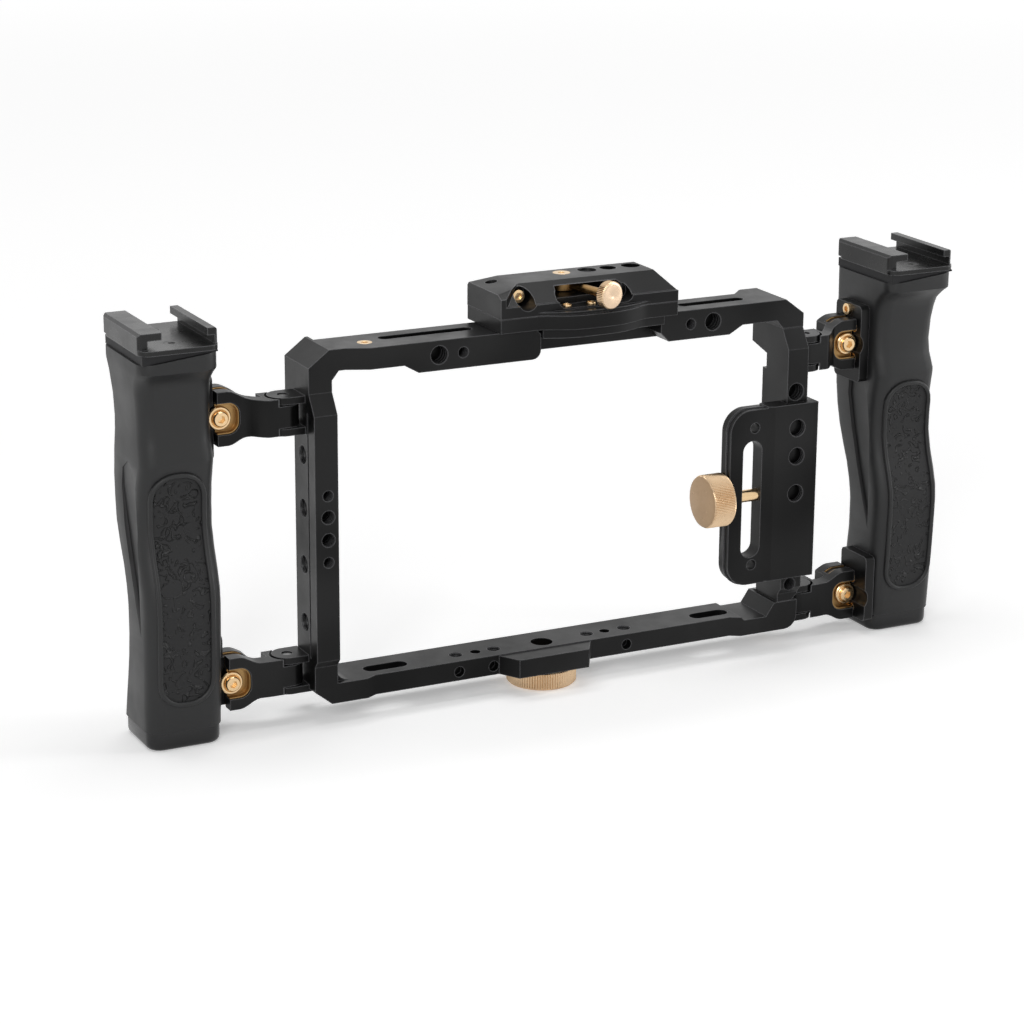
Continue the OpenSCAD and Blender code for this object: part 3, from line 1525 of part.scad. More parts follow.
placed() mirrored(-1)  // plate_screws_left
    plate_screws(left_arm_zs, left_plate_fronts, left_plate_w, left_sunk_ys);
placed()  // plate_screws_right
    plate_screws(right_arm_zs, right_plate_fronts, plate_w, right_sunk_ys);
placed() mirrored(-1) grip_body(-1);  // left_grip
placed() grip_body(1);  // right_grip
placed() mirrored(-1) inlay();  // left_inlay
placed() inlay();  // right_inlay
placed() mirrored(-1) end_cap();  // left_cap
placed() end_cap();  // right_cap
placed() mirrored(-1) cap_screw();  // cap_screw_left
placed() cap_screw();  // cap_screw_right
placed() mirrored(-1) spacer(-1);  // left_spacer
placed() spacer(1);  // right_spacer
placed() translate([-grip_out, 0, 0]) cold_shoe();  // left_shoe
placed() translate([grip_in, 0, 0]) cold_shoe();  // right_shoe
placed() mirrored(-1) shoe_screws();  // shoe_screws_left
placed() shoe_screws();  // shoe_screws_right
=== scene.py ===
# Camera cage: the finish of its frame, handles, clamp, bracket and thumbscrews.
import json
import math

import bmesh
import bpy
from mathutils import Matrix, Vector


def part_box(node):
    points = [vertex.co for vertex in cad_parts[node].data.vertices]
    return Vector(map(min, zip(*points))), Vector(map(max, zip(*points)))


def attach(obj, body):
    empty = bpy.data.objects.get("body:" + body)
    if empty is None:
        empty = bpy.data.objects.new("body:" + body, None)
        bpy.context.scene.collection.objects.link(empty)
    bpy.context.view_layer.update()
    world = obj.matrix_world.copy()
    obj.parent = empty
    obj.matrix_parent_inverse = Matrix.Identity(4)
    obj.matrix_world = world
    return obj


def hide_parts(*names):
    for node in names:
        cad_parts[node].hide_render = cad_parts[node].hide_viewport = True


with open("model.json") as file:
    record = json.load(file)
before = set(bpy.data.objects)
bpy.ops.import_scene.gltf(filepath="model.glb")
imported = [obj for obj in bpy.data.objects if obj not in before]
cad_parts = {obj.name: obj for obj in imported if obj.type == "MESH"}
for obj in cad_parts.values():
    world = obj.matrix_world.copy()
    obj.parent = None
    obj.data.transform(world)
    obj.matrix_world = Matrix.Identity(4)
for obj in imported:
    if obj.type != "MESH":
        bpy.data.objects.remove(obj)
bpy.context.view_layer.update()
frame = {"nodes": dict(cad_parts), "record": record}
nodes = frame["nodes"]
MM = 0.001

# The cage's own planes. The handles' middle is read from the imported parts
grip_low, grip_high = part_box("right_grip")
HANDLE_Y = (grip_low.y + grip_high.y) / 2
POST_FRONT = HANDLE_Y - 13.4 * MM
LEFT_BRACKET_FRONT = POST_FRONT + 0.9 * MM
RIGHT_BRACKET_FRONT = POST_FRONT + 3.4 * MM
SIDE_HOLE_Y = POST_FRONT + 8.2 * MM
RAIL_HOLE_Y = POST_FRONT + 8.6 * MM
PAD_FRONT = POST_FRONT - 2.4 * MM
FRAME_BOTTOM = 5.8 * MM
RAIL_TOP = FRAME_BOTTOM + 5.8 * MM
BRACKET_HOLE_Z = 100.9 * MM
WING_BOTTOM = 23 * MM

# Places of the open holes, in millimetres: across the cage, or up from the frame's or wing's bottom
POST_X, POST_SIDE_X, PAD_HOLE_X, THUMB_X = 73, 76.8, 72.4, -4.3
SIDE_HOLE_HEIGHTS = (22.5, 39, 55, 69.9)
FRONT_MEDIUM_HEIGHTS = (47.6, 54)
FRONT_SMALL_HEIGHTS = (41.3, 60)
RIGHT_HIGH_HEIGHT, RIGHT_LOW_HEIGHT = 72.5, 14.4
PAD_HOLE_HEIGHTS = (45.2, 36.8, 25.7)
LEFT_BRACKET_LARGE_X, LEFT_BRACKET_SMALL_X = -39.7, -32.5
RIGHT_BRACKET_LARGE_X, RIGHT_BRACKET_SMALL_X = 46.8, 39.6
RAIL_HOLES_FROM_THUMB = (-26.9, -15, 14.7, 26.9)

# The clamp's lever, measured from its pivot to its knob's face
PIVOT = Vector((4 * MM, HANDLE_Y + 0.9 * MM, 0))
LEVER_TURN = math.radians(14)
LEVER_LENGTH = 21.5
LEVER_KNOB_RADIUS = 3.85
LEVER_KNOB_LONG = 3.2

# Sizes of finishing work, in millimetres
LIP_RADIUS = 0.75
SHELL_EDGE = 0.3
CAP_EDGE = 1.1
BRACKET_EDGE = 0.22
PLATE_SCREW_EDGE = 0.3
SCREW_EDGE = 0.12
PAD_STEP = 0.8
PAD_WIDTH = 16
SLOT_FROM_EDGE = 21.1
SLOT_HALF_WIDTH = 4
SLOT_HALF_LENGTH = 24
RIM_GROOVE = (1.7, 2.3)
RIM_GROOVE_DEPTH = 0.35
BOLT_HEAD_RADIUS = 3.25
BOLT_HEAD_HIGH = 2.2
UPPER_BOLT_BACK = 4.5

# Bores of the open holes and the pitches of their threads, in millimetres
LARGE_BORE, LARGE_PITCH = 5.1, 1.27
MEDIUM_BORE, MEDIUM_PITCH = 3.8, 0.7
SMALL_BORE, SMALL_PITCH = 3.0, 0.5
PAD_PITCH = 0.9

# The camera of the photograph, and where the lamps look
LENS = 104.56
CAMERA_ROLL = 0.37
CAMERA_PLACE = Vector((-0.3706, -0.7157 + HANDLE_Y, 0.2943))
CAMERA_TARGET = Vector((-0.01129, HANDLE_Y, 0.04962))
CAGE_MIDDLE = Vector((0, 0, 0.05))
BRACKET_MIDDLE = Vector((0, 0, 0.06))
FLOOR_SIZE = 12


# Camera and light
def aim(thing, place, target, roll=0.0):
    """Puts a camera or lamp at a place, looking at a target."""
    ahead = (target - place).normalized()
    right = ahead.cross(Vector((0, 0, 1))).normalized()
    up = right.cross(ahead)
    turn = math.radians(roll)
    side = right * math.cos(turn) + up * math.sin(turn)
    top = up * math.cos(turn) - right * math.sin(turn)
    thing.matrix_world = Matrix.Translation(place) @ Matrix((side, top, -ahead)).transposed().to_4x4()


def set_up_camera():
    camera = bpy.data.objects.new("camera", bpy.data.cameras.new("camera"))
    bpy.context.scene.collection.objects.link(camera)
    camera.data.lens = LENS
    camera.data.clip_start = 0.05
    camera.data.clip_end = 20
    aim(camera, CAMERA_PLACE, CAMERA_TARGET, CAMERA_ROLL)
    bpy.context.scene.camera = camera


def softbox(name, place, target, width, height, power):
    """A broad lamp at a place, looking at a target."""
    lamp = bpy.data.objects.new(name, bpy.data.lights.new(name, "AREA"))
    bpy.context.scene.collection.objects.link(lamp)
    lamp.data.shape = "RECTANGLE"
    lamp.data.size = width
    lamp.data.size_y = height
    lamp.data.energy = power
    aim(lamp, Vector(place), target)


def backdrop_rays(tree):
    """1 for the rays that see the backdrop itself: the camera's and the reflections'."""
    path = tree.nodes.new("ShaderNodeLightPath")
    total = path.outputs["Is Camera Ray"]
    for name in ("Is Glossy Ray", "Is Transmission Ray"):
        both = tree.nodes.new("ShaderNodeMath")
        both.operation = "MAXIMUM"
        tree.links.new(total, both.inputs[0])
        tree.links.new(path.outputs[name], both.inputs[1])
        total = both.outputs[0]
    return total


def set_up_light():
    softbox("overhead", (0.0, 0.15, 1.25), CAGE_MIDDLE, 1.1, 0.8, 8.5)
    softbox("front_left", (-0.8, -1.0, 0.75), CAGE_MIDDLE, 0.4, 0.6, 5)
    softbox("right_side", (1.1, -0.5, 0.5), BRACKET_MIDDLE, 0.3, 0.8, 3.5)
    world = bpy.data.worlds.new("studio")
    bpy.context.scene.world = world
    world.use_nodes = True
    tree = world.node_tree
    tree.nodes.clear()
    seen = tree.nodes.new("ShaderNodeBackground")
    seen.inputs["Color"].default_value = (1, 1, 1, 1)
    fill = tree.nodes.new("ShaderNodeBackground")
    fill.inputs["Color"].default_value = (1, 1, 1, 1)
    fill.inputs["Strength"].default_value = 0.14
    mix = tree.nodes.new("ShaderNodeMixShader")
    out = tree.nodes.new("ShaderNodeOutputWorld")
    tree.links.new(backdrop_rays(tree), mix.inputs[0])
    tree.links.new(fill.outputs[0], mix.inputs[1])
    tree.links.new(seen.outputs[0], mix.inputs[2])
    tree.links.new(mix.outputs[0], out.inputs[0])


def set_up_floor():
    """A white floor that keeps the cage's shadow and glows more, as it is seen, further away."""
    bpy.ops.mesh.primitive_plane_add(size=FLOOR_SIZE, location=(0, 0, 0))
    floor = bpy.context.active_object
    floor.name = "floor"
    paint = bpy.data.materials.new("studio_floor")
    paint.use_nodes = True
    tree = paint.node_tree
    tree.nodes.clear()
    matt = tree.nodes.new("ShaderNodeBsdfDiffuse")
    matt.inputs["Color"].default_value = (0.93, 0.93, 0.93, 1)
    glow = tree.nodes.new("ShaderNodeEmission")
    glow.inputs["Color"].default_value = (1, 1, 1, 1)
    place = tree.nodes.new("ShaderNodeTexCoord").outputs["Object"]
    away = tree.nodes.new("ShaderNodeVectorMath")
    away.operation = "LENGTH"
    tree.links.new(place, away.inputs[0])
    rise = tree.nodes.new("ShaderNodeMapRange")
    for key, value in (("From Min", 0.3), ("From Max", 2.2), ("To Min", 0.34), ("To Max", 0.98)):
        rise.inputs[key].default_value = value
    tree.links.new(away.outputs["Value"], rise.inputs["Value"])
    tree.links.new(rise.outputs["Result"], glow.inputs["Strength"])
    both = tree.nodes.new("ShaderNodeAddShader")
    mix = tree.nodes.new("ShaderNodeMixShader")
    out = tree.nodes.new("ShaderNodeOutputMaterial")
    tree.links.new(matt.outputs[0], both.inputs[0])
    tree.links.new(glow.outputs[0], both.inputs[1])
    tree.links.new(backdrop_rays(tree), mix.inputs[0])
    tree.links.new(matt.outputs[0], mix.inputs[1])
    tree.links.new(both.outputs[0], mix.inputs[2])
    tree.links.new(mix.outputs[0], out.inputs[0])
    floor.data.materials.append(paint)


# Finishes
class Finish:
    """A material under construction: one shader and the nodes that feed it."""

    def __init__(self, name, color, metallic, roughness):
        self.material = bpy.data.materials.new(name)
        self.material.use_nodes = True
        self.tree = self.material.node_tree
        self.shader = self.tree.nodes["Principled BSDF"]
        self.shader.inputs["Base Color"].default_value = (*color, 1)
        self.shader.inputs["Metallic"].default_value = metallic
        self.shader.inputs["Roughness"].default_value = roughness
        self.place = self.tree.nodes.new("ShaderNodeTexCoord").outputs["Object"]

    def add(self, kind, **settings):
        node = self.tree.nodes.new(kind)
        for key, value in settings.items():
            if key in node.bl_rna.properties:
                setattr(node, key, value)
            else:
                node.inputs[key].default_value = value
        return node

    def link(self, source, target):
        self.tree.links.new(source, target)

    def noise(self, scale, detail=3.0, roughness=0.55):
        node = self.add("ShaderNodeTexNoise", Scale=scale, Detail=detail, Roughness=roughness)
        self.link(self.place, node.inputs["Vector"])
        return node.outputs["Fac"]

    def spread(self, source, low, high, to_low, to_high):
        node = self.add("ShaderNodeMapRange")
        for key, value in (("From Min", low), ("From Max", high), ("To Min", to_low), ("To Max", to_high)):
            node.inputs[key].default_value = value
        self.link(source, node.inputs["Value"])
        return node.outputs["Result"]

    def blend(self, factor, dark, light):
        node = self.add("ShaderNodeMix", data_type="RGBA")
        pair = [s for s in node.inputs if s.type == "RGBA"]
        for socket, color in zip(pair, (dark, light)):
            if isinstance(color, tuple):
                socket.default_value = (*color, 1)
            else:
                self.link(color, socket)
        self.link(factor, node.inputs["Factor"])
        return next(s for s in node.outputs if s.type == "RGBA")

    def color(self, source):
        self.link(source, self.shader.inputs["Base Color"])

    def roughness(self, source):
        self.link(source, self.shader.inputs["Roughness"])

    def bump(self, source, strength, distance):
        node = self.add("ShaderNodeBump", Strength=strength, Distance=distance)
        self.link(source, node.inputs["Height"])
        if self.shader.inputs["Normal"].links:
            self.link(self.shader.inputs["Normal"].links[0].from_socket, node.inputs["Normal"])
        self.link(node.outputs["Normal"], self.shader.inputs["Normal"])

    def painted_edge_highlights(self, base, edge, width=0.00045):
        """Paints a pale highlight along the piece's edges, in place of the light that rounded edges catch.
        """
        rounded = self.add("ShaderNodeBevel", samples=6, Radius=width)
        geometry = self.add("ShaderNodeNewGeometry")
        match = self.add("ShaderNodeVectorMath", operation="DOT_PRODUCT")
        self.link(rounded.outputs["Normal"], match.inputs[0])
        self.link(geometry.outputs["Normal"], match.inputs[1])
        return self.blend(self.spread(match.outputs["Value"], 0.995, 0.93, 0, 1), base, edge)


def black_anodised(name, tone, rough=0.34, level=0.19):
    finish = Finish(name, (tone, tone, tone), 0.0, rough)
    base = finish.blend(finish.noise(60, 2), (tone * 0.4,) * 3, (tone * 1.7, tone * 1.7, tone * 1.75))
    # Painted highlight: the edges are painted far paler than the flats, as if they caught the light.
    finish.color(finish.painted_edge_highlights(base, (tone * 24, tone * 24, tone * 25)))
    finish.roughness(finish.spread(finish.noise(140, 3), 0.3, 0.7, rough - 0.06, rough + 0.06))
    finish.bump(finish.noise(2600, 2), 0.12, 0.00006)
    finish.link(finish.spread(finish.noise(28, 1), 0.35, 0.65, level * 0.6, level * 1.3),
                finish.shader.inputs["Specular IOR Level"])
    return finish.material


def moulded_shell():
    finish = Finish("charcoal_shell", (0.02, 0.02, 0.021), 0.0, 0.45)
    finish.color(finish.blend(finish.noise(45, 2), (0.009, 0.0092, 0.0096), (0.0165, 0.0168, 0.0173)))
    finish.roughness(finish.spread(finish.noise(90, 2), 0.3, 0.7, 0.4, 0.5))
    finish.bump(finish.noise(3200, 2), 0.1, 0.00005)
    finish.shader.inputs["Specular IOR Level"].default_value = 0.4
    return finish.material


def embossed_rubber():
    """Rubber with a winding raised pattern and a fine pebble over it."""
    finish = Finish("embossed_rubber", (0.012, 0.012, 0.0125), 0.0, 0.6)
    curls = finish.add("ShaderNodeTexNoise", Scale=360.0, Detail=0.4, Distortion=1.2)
    finish.link(finish.place, curls.inputs["Vector"])
    level = finish.add("ShaderNodeMath", operation="PINGPONG")
    level.inputs[1].default_value = 0.19
    finish.link(curls.outputs["Fac"], level.inputs[0])
    vein = finish.spread(level.outputs[0], 0.0, 0.07, 1, 0)
    finish.color(finish.blend(vein, (0.006, 0.006, 0.0065), (0.014, 0.014, 0.0145)))
    finish.roughness(finish.spread(vein, 0, 1, 0.6, 0.38))
    finish.bump(vein, 1.0, 0.0005)
    finish.bump(finish.noise(1500, 3), 0.35, 0.00012)
    finish.shader.inputs["Specular IOR Level"].default_value = 0.4
    return finish.material


def gloss_black():
    finish = Finish("polished_black", (0.006, 0.006, 0.0065), 0.0, 0.2)
    finish.roughness(finish.spread(finish.noise(220, 3), 0.3, 0.7, 0.16, 0.28))
    finish.color(finish.blend(finish.noise(30, 2), (0.004, 0.004, 0.0045), (0.008, 0.008, 0.009)))
    finish.shader.inputs["Specular IOR Level"].default_value = 0.4
    return finish.material


def matt_black():
    finish = Finish("matt_black", (0.01, 0.01, 0.0105), 0.0, 0.6)
    finish.color(finish.blend(finish.noise(80, 2), (0.006, 0.006, 0.007), (0.012, 0.012, 0.013)))
    finish.bump(finish.noise(2000, 2), 0.1, 0.00005)
    finish.shader.inputs["Specular IOR Level"].default_value = 0.3
    return finish.material


def gold(name, color, roughness, grain=0.06):
    finish = Finish(name, color, 1.0, roughness)
    finish.color(finish.blend(finish.noise(180, 3), tuple(c * 0.82 for c in color), color))
    finish.roughness(finish.spread(finish.noise(600, 2), 0.3, 0.7, roughness * 0.8, roughness * 1.25))
    finish.bump(finish.noise(4000, 2), grain, 0.00005)
    return finish.material


def turned_gold(name, color, roughness, axis):
    """Gold whose fine turning marks run round an axis, as a lathe leaves them."""
    finish = Finish(name, color, 1.0, roughness)
    finish.color(finish.blend(finish.noise(300, 3), tuple(c * 0.86 for c in color), color))
    finish.roughness(finish.spread(finish.noise(900, 2), 0.3, 0.7, roughness * 0.85, roughness * 1.15))
    finish.shader.inputs["Anisotropic"].default_value = 0.75
    along = finish.add("ShaderNodeTangent", direction_type="RADIAL", axis=axis)
    finish.link(along.outputs["Tangent"], finish.shader.inputs["Tangent"])
    return finish.material


def steel(name, tone, roughness):
    finish = Finish(name, (tone, tone, tone * 1.02), 1.0, roughness)
    finish.color(finish.blend(finish.noise(200, 2), (tone * 0.8,) * 3, (tone * 1.1,) * 3))
    finish.roughness(finish.spread(finish.noise(700, 2), 0.3, 0.7, roughness * 0.8, roughness * 1.2))
    return finish.material


FINISHES = {
    "black_anodised": black_anodised("black_anodised", 0.005),
    "shoe_black": black_anodised("shoe_black", 0.005, 0.28, 0.32),
    "grip_shell": moulded_shell(),
    "grip_rubber": embossed_rubber(),
    "cap_gloss": gloss_black(),
    "spacer_black": matt_black(),
    "gold_anodised": gold("gold_anodised", (0.72, 0.52, 0.33), 0.28),
    "gold_screw": gold("gold_screw", (0.84, 0.60, 0.34), 0.2),
    "brass": gold("brass", (0.36, 0.22, 0.09), 0.36),
    "dark_steel": steel("dark_steel", 0.08, 0.4),
    "pin_steel": steel("pin_steel", 0.3, 0.35),
}
TURNED_X = turned_gold("turned_gold_side", (0.40, 0.27, 0.16), 0.32, "X")
TURNED_Y = turned_gold("turned_gold_lever", (0.80, 0.60, 0.42), 0.26, "Y")
SLOT_OF = {row["node"]: row["material_slot"] for row in frame["record"]["subparts"]}
BODIES = frame["record"]["behaviour"]["bodies"]
BODY_OF = {node: body for body, members in BODIES.items() for node in members}


# Tools of the bench
def only(piece):
    """Leaves everything deselected but one piece."""
    bpy.ops.object.select_all(action="DESELECT")
    piece.hide_viewport = False
    piece.select_set(True)
    bpy.context.view_layer.objects.active = piece


def apply_all(piece):
    only(piece)
    for modifier in list(piece.modifiers):
        bpy.ops.object.modifier_apply(modifier=modifier.name)


def edit(piece):
    only(piece)
    bpy.ops.object.mode_set(mode="EDIT")


def done():
    bpy.ops.object.mode_set(mode="OBJECT")


def choose(piece, kind, test):
    """Selects in edit mode the faces, edges or points that pass a test."""
    bpy.ops.mesh.select_mode(type={"faces": "FACE", "edges": "EDGE", "verts": "VERT"}[kind])
    bpy.ops.mesh.select_all(action="DESELECT")
    mesh = bmesh.from_edit_mesh(piece.data)
    mesh.normal_update()
    for item in getattr(mesh, kind):
        if test(item):
            item.select = True
    mesh.select_flush_mode()
    bmesh.update_edit_mesh(piece.data)


def soft_normals(piece, angle):
    only(piece)
    bpy.ops.object.shade_smooth_by_angle(angle=math.radians(angle))
    piece.modifiers.new("normals", "WEIGHTED_NORMAL").keep_sharp = True
    apply_all(piece)


def seat(piece, place, axis, turn=0.0):
    """Moves a piece made on the Z axis to a place, with its Z along an axis, and applies it."""
    along = Vector(axis).normalized()
    tilt = Vector((0, 0, 1)).rotation_difference(along).to_matrix().to_4x4()
    spin = Matrix.Rotation(math.radians(turn), 4, "Z")
    piece.matrix_world = Matrix.Translation(Vector(place)) @ tilt @ spin
    only(piece)
    bpy.ops.object.transform_apply(location=True, rotation=True, scale=True)


def deliver(piece, name, slot, body, *stands_for):
    """Names a finished piece, gives it its finish and lets it ride on its body."""
    piece.name = name
    piece.data.name = name
    if not piece.data.materials:
        piece.data.materials.append(FINISHES[slot])
    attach(piece, body)
    if stands_for:
        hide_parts(*stands_for)
    return piece


def join(pieces):
    only(pieces[0])
    for piece in pieces[1:]:
        piece.select_set(True)
    if len(pieces) > 1:
        bpy.ops.object.join()
    return pieces[0]


def copy_of(piece):
    twin = piece.copy()
    twin.data = piece.data.copy()
    bpy.context.scene.collection.objects.link(twin)
    return twin


def cad_copy(node):
    """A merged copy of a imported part, ready to be worked on."""
    piece = bpy.data.objects.new(node + "_made", nodes[node].data.copy())
    bpy.context.scene.collection.objects.link(piece)
    piece.data.materials.clear()
    edit(piece)
    bpy.ops.mesh.select_all(action="SELECT")
    bpy.ops.mesh.remove_doubles(threshold=0.000002)
    done()
    return piece


def break_edges(piece, width, segments=2, angle=30, flat=0.6):
    """Small rounded edges all over, as a machined piece is deburred."""
    edit(piece)
    bpy.ops.mesh.select_all(action="SELECT")
    bpy.ops.mesh.dissolve_limited(angle_limit=math.radians(flat))
    done()
    edge = piece.modifiers.new("edges", "BEVEL")
    edge.width = width
    edge.segments = segments
    edge.limit_method = "ANGLE"
    edge.angle_limit = math.radians(angle)
    edge.use_clamp_overlap = True
    apply_all(piece)
    soft_normals(piece, angle)


def turned(profile, sides=48, closed=False):
    """A lathe-turned piece round Z: a circle, extruded and resized ring by ring."""
    radius, height = profile[0]
    bpy.ops.mesh.primitive_circle_add(vertices=sides, radius=radius * MM, location=(0, 0, 0),
                                      fill_type="NOTHING" if closed else "NGON")
    piece = bpy.context.active_object
    edit(piece)
    bpy.ops.mesh.select_all(action="SELECT")
    bpy.ops.transform.translate(value=(0, 0, height * MM))
    for next_radius, next_height in profile[1:] + ([profile[0]] if closed else []):
        bpy.ops.mesh.select_mode(type="EDGE")
        if closed or bpy.context.tool_settings.mesh_select_mode[1]:
            bpy.ops.mesh.extrude_region_move(
                TRANSFORM_OT_translate={"value": (0, 0, (next_height - height) * MM)})
        if abs(next_radius - radius) > 1e-6:
            ratio = next_radius / radius
            bpy.ops.transform.resize(value=(ratio, ratio, 1), center_override=(0, 0, next_height * MM))
        radius, height = next_radius, next_height
    bpy.ops.mesh.select_all(action="SELECT")
    bpy.ops.mesh.remove_doubles(threshold=0.000001)
    bpy.ops.mesh.select_all(action="SELECT")
    bpy.ops.mesh.normals_make_consistent(inside=False)
    done()
    return piece


def drilled(piece, cutter):
    """Cuts one piece's shape out of another."""
    cut = piece.modifiers.new("cut", "BOOLEAN")
    cut.operation = "DIFFERENCE"
    cut.solver = "EXACT"
    cut.object = cutter
    apply_all(piece)
    bpy.data.objects.remove(cutter, do_unlink=True)
    return piece


def hex_key(radius, depth, top):
    """The shape that a hex key leaves: six sides, from a height downward."""
    bpy.ops.mesh.primitive_cylinder_add(vertices=6, radius=radius * MM, depth=2 * depth * MM,
                                        location=(0, 0, top * MM))
    return bpy.context.active_object


def knurled(piece, radius, depth, ribs):
    """Presses straight grooves into a turned rim that has two sides for every rib."""
    step = 2 * math.pi / (2 * ribs)

    def in_groove(point):
        reach = math.hypot(point.co.x, point.co.y)
        place = round(math.atan2(point.co.y, point.co.x) / step)
        return reach > (radius - 0.02) * MM and place % 2 == 1

    edit(piece)
    choose(piece, "verts", in_groove)
    ratio = (radius - depth) / radius
    bpy.ops.transform.resize(value=(ratio, ratio, 1), center_override=(0, 0, 0))
    done()
    return piece


def thread(bore, length, pitch):
    """The ridges of a thread as rings on a bore's wall, from z = 0 downward."""
    inner, outer = bore / 2 - 0.22 * pitch, bore / 2 + 0.1
    profile = [(outer, -0.15), (bore / 2, -0.15)]
    height = -0.15
    while height - pitch > -length:
        profile += [(inner, height - pitch * 0.42), (inner, height - pitch * 0.58)]
        profile.append((bore / 2, height - pitch))
        height -= pitch
    profile.append((outer, height))
    return turned(profile, 32, closed=True)


# Machined parts
BROKEN_EDGES = {
    "left_frame": 0.28, "right_frame": 0.28, "bridge_bar": 0.25, "clamp_base": 0.3, "clamp_body": 0.3,
    "left_upper_arm": 0.35, "left_lower_arm": 0.35, "right_upper_arm": 0.35, "right_lower_arm": 0.35,
    "left_upper_plate": 0.3, "left_lower_plate": 0.3, "right_upper_plate": 0.3, "right_lower_plate": 0.3,
    "left_spacer": 0.2, "right_spacer": 0.2, "left_shoe": 0.6, "right_shoe": 0.6,
    "left_inlay": 0.2, "right_inlay": 0.2,
}


def machined_parts():
    """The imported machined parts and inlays, with their edges broken."""
    for node, width in BROKEN_EDGES.items():
        piece = cad_copy(node)
        break_edges(piece, width * MM)
        deliver(piece, node + "_finished", SLOT_OF[node], BODY_OF[node], node)


def handle_shells():
    """The moulded handle bodies and their end caps, rounded where they turn."""
    for node in ("left_grip", "right_grip", "left_cap", "right_cap"):
        piece = cad_copy(node)
        edge = piece.modifiers.new("edges", "BEVEL")
        edge.width = (CAP_EDGE if node.endswith("cap") else SHELL_EDGE) * MM
        edge.segments = 3
        edge.limit_method = "ANGLE"
        edge.angle_limit = math.radians(38)
        apply_all(piece)
        bpy.ops.object.shade_smooth_by_angle(angle=math.radians(38))
        deliver(piece, node + "_finished", SLOT_OF[node], BODY_OF[node], node)


def inlay_lips():
    """The soft raised lip of the shell round each rubber inlay."""
    for side in ("left", "right"):
        piece = cad_copy(side + "_inlay")
        edit(piece)
        choose(piece, "faces", lambda face: face.normal.y > -0.5)
        bpy.ops.mesh.delete(type="FACE")
        bpy.ops.mesh.select_mode(type="EDGE")
        bpy.ops.mesh.select_all(action="SELECT")
        bpy.ops.mesh.region_to_loop()
        bpy.ops.mesh.select_all(action="INVERT")
        bpy.ops.mesh.delete(type="EDGE")
        done()
        only(piece)
        bpy.ops.object.convert(target="CURVE")
        piece.data.bevel_depth = LIP_RADIUS * MM
        piece.data.bevel_resolution = 4
        bpy.ops.object.convert(target="MESH")
        soft_normals(piece, 60)
        deliver(piece, side + "_inlay_lip", "grip_shell", BODY_OF[side + "_grip"])


def slotted_bracket():
    """The side bracket, with a groove round its wing's edge and a panel on its pad."""
    low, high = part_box("side_bracket")
    piece = cad_copy("side_bracket")
    edit(piece)
    bpy.ops.mesh.select_all(action="SELECT")
    bpy.ops.mesh.dissolve_limited(angle_limit=math.radians(0.6))
    wing_front = low.y + PAD_STEP * MM
    groove_front, groove_back = (wing_front + depth * MM for depth in RIM_GROOVE)
    margin = 0.1 * MM
    for y in (groove_front, groove_back):
        bpy.ops.mesh.select_all(action="SELECT")
        bpy.ops.mesh.bisect(plane_co=(0, y, 0), plane_no=(0, 1, 0))
    slot_x = high.x - SLOT_FROM_EDGE * MM

    def on_rim(face):
        middle = face.calc_center_median()
        beside_slot = abs(middle.x - slot_x) > SLOT_HALF_WIDTH * MM
        past_slot = abs(middle.z - (low.z + high.z) / 2) > SLOT_HALF_LENGTH * MM
        return (groove_front - margin < middle.y < groove_back + margin and abs(face.normal.y) < 0.1
                and middle.x < high.x - PAD_WIDTH * MM and (beside_slot or past_slot)
                and face.calc_area() > 0)

    choose(piece, "faces", on_rim)
    bpy.ops.mesh.extrude_region_shrink_fatten(TRANSFORM_OT_shrink_fatten={"value": RIM_GROOVE_DEPTH * MM})
    choose(piece, "faces", lambda face: face.normal.y < -0.99
           and face.calc_center_median().y < low.y + margin)
    bpy.ops.mesh.inset(thickness=0.7 * MM, depth=0)
    bpy.ops.mesh.inset(thickness=0.25 * MM, depth=-0.15 * MM)
    done()
    break_edges(piece, BRACKET_EDGE * MM, angle=34)
    node = "side_bracket"
    deliver(piece, node + "_finished", SLOT_OF[node], BODY_OF[node], node)


# Knobs, bolts and screws
def faced_knob(name, node, face, rim, finish, place, out):
    """Seats a knob's turned face and its knurled rim, which stand for one packed knob."""
    face.data.materials.append(finish)
    for piece, part, stands_for in ((face, "_face", ()), (rim, "_rim", (node,))):
        soft_normals(piece, 30)
        seat(piece, place, out)
        deliver(piece, name + part, "gold_anodised", BODY_OF[node], *stands_for)


def side_knob():
    """The side thumbscrew's knob, with its turned face and fine rim."""
    low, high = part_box("side_knob")
    long, radius = (high.x - low.x) / MM, (high.z - low.z) / MM / 2
    face = turned([(0.4, long - 0.02), (1.2, long), (radius - 1.3, long), (radius - 0.35, long - 0.3)], 96)
    rim = turned([(radius - 0.7, 0), (radius - 0.35, 0.1), (radius, 0.6), (radius, long - 0.9),
                  (radius - 0.35, long - 0.3), (radius - 0.7, long - 0.25)], 192)
    knurled(rim, radius, 0.22, 96)
    place = (high.x, (low.y + high.y) / 2, (low.z + high.z) / 2)
    faced_knob("side_knob", "side_knob", face, rim, TURNED_X, place, (-1, 0, 0))


def bottom_knob():
    """The captive thumbscrew's broad knurled knob."""
    low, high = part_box("bottom_knob")
    tall, radius = (high.z - low.z) / MM, (high.x - low.x) / MM / 2
    piece = turned([(1.5, 0.5), (3.4, 0.5), (3.6, 0.3), (radius - 1.4, 0.15), (radius - 0.5, 0),
                    (radius, 0.5), (radius, tall - 0.5), (radius - 0.5, tall), (6, tall), (3.2, tall)], 160)
    knurled(piece, radius, 0.3, 80)
    soft_normals(piece, 30)
    seat(piece, ((low.x + high.x) / 2, (low.y + high.y) / 2, low.z), (0, 0, 1))
    deliver(piece, "bottom_knob_knurled", "gold_anodised", BODY_OF["bottom_knob"], "bottom_knob")


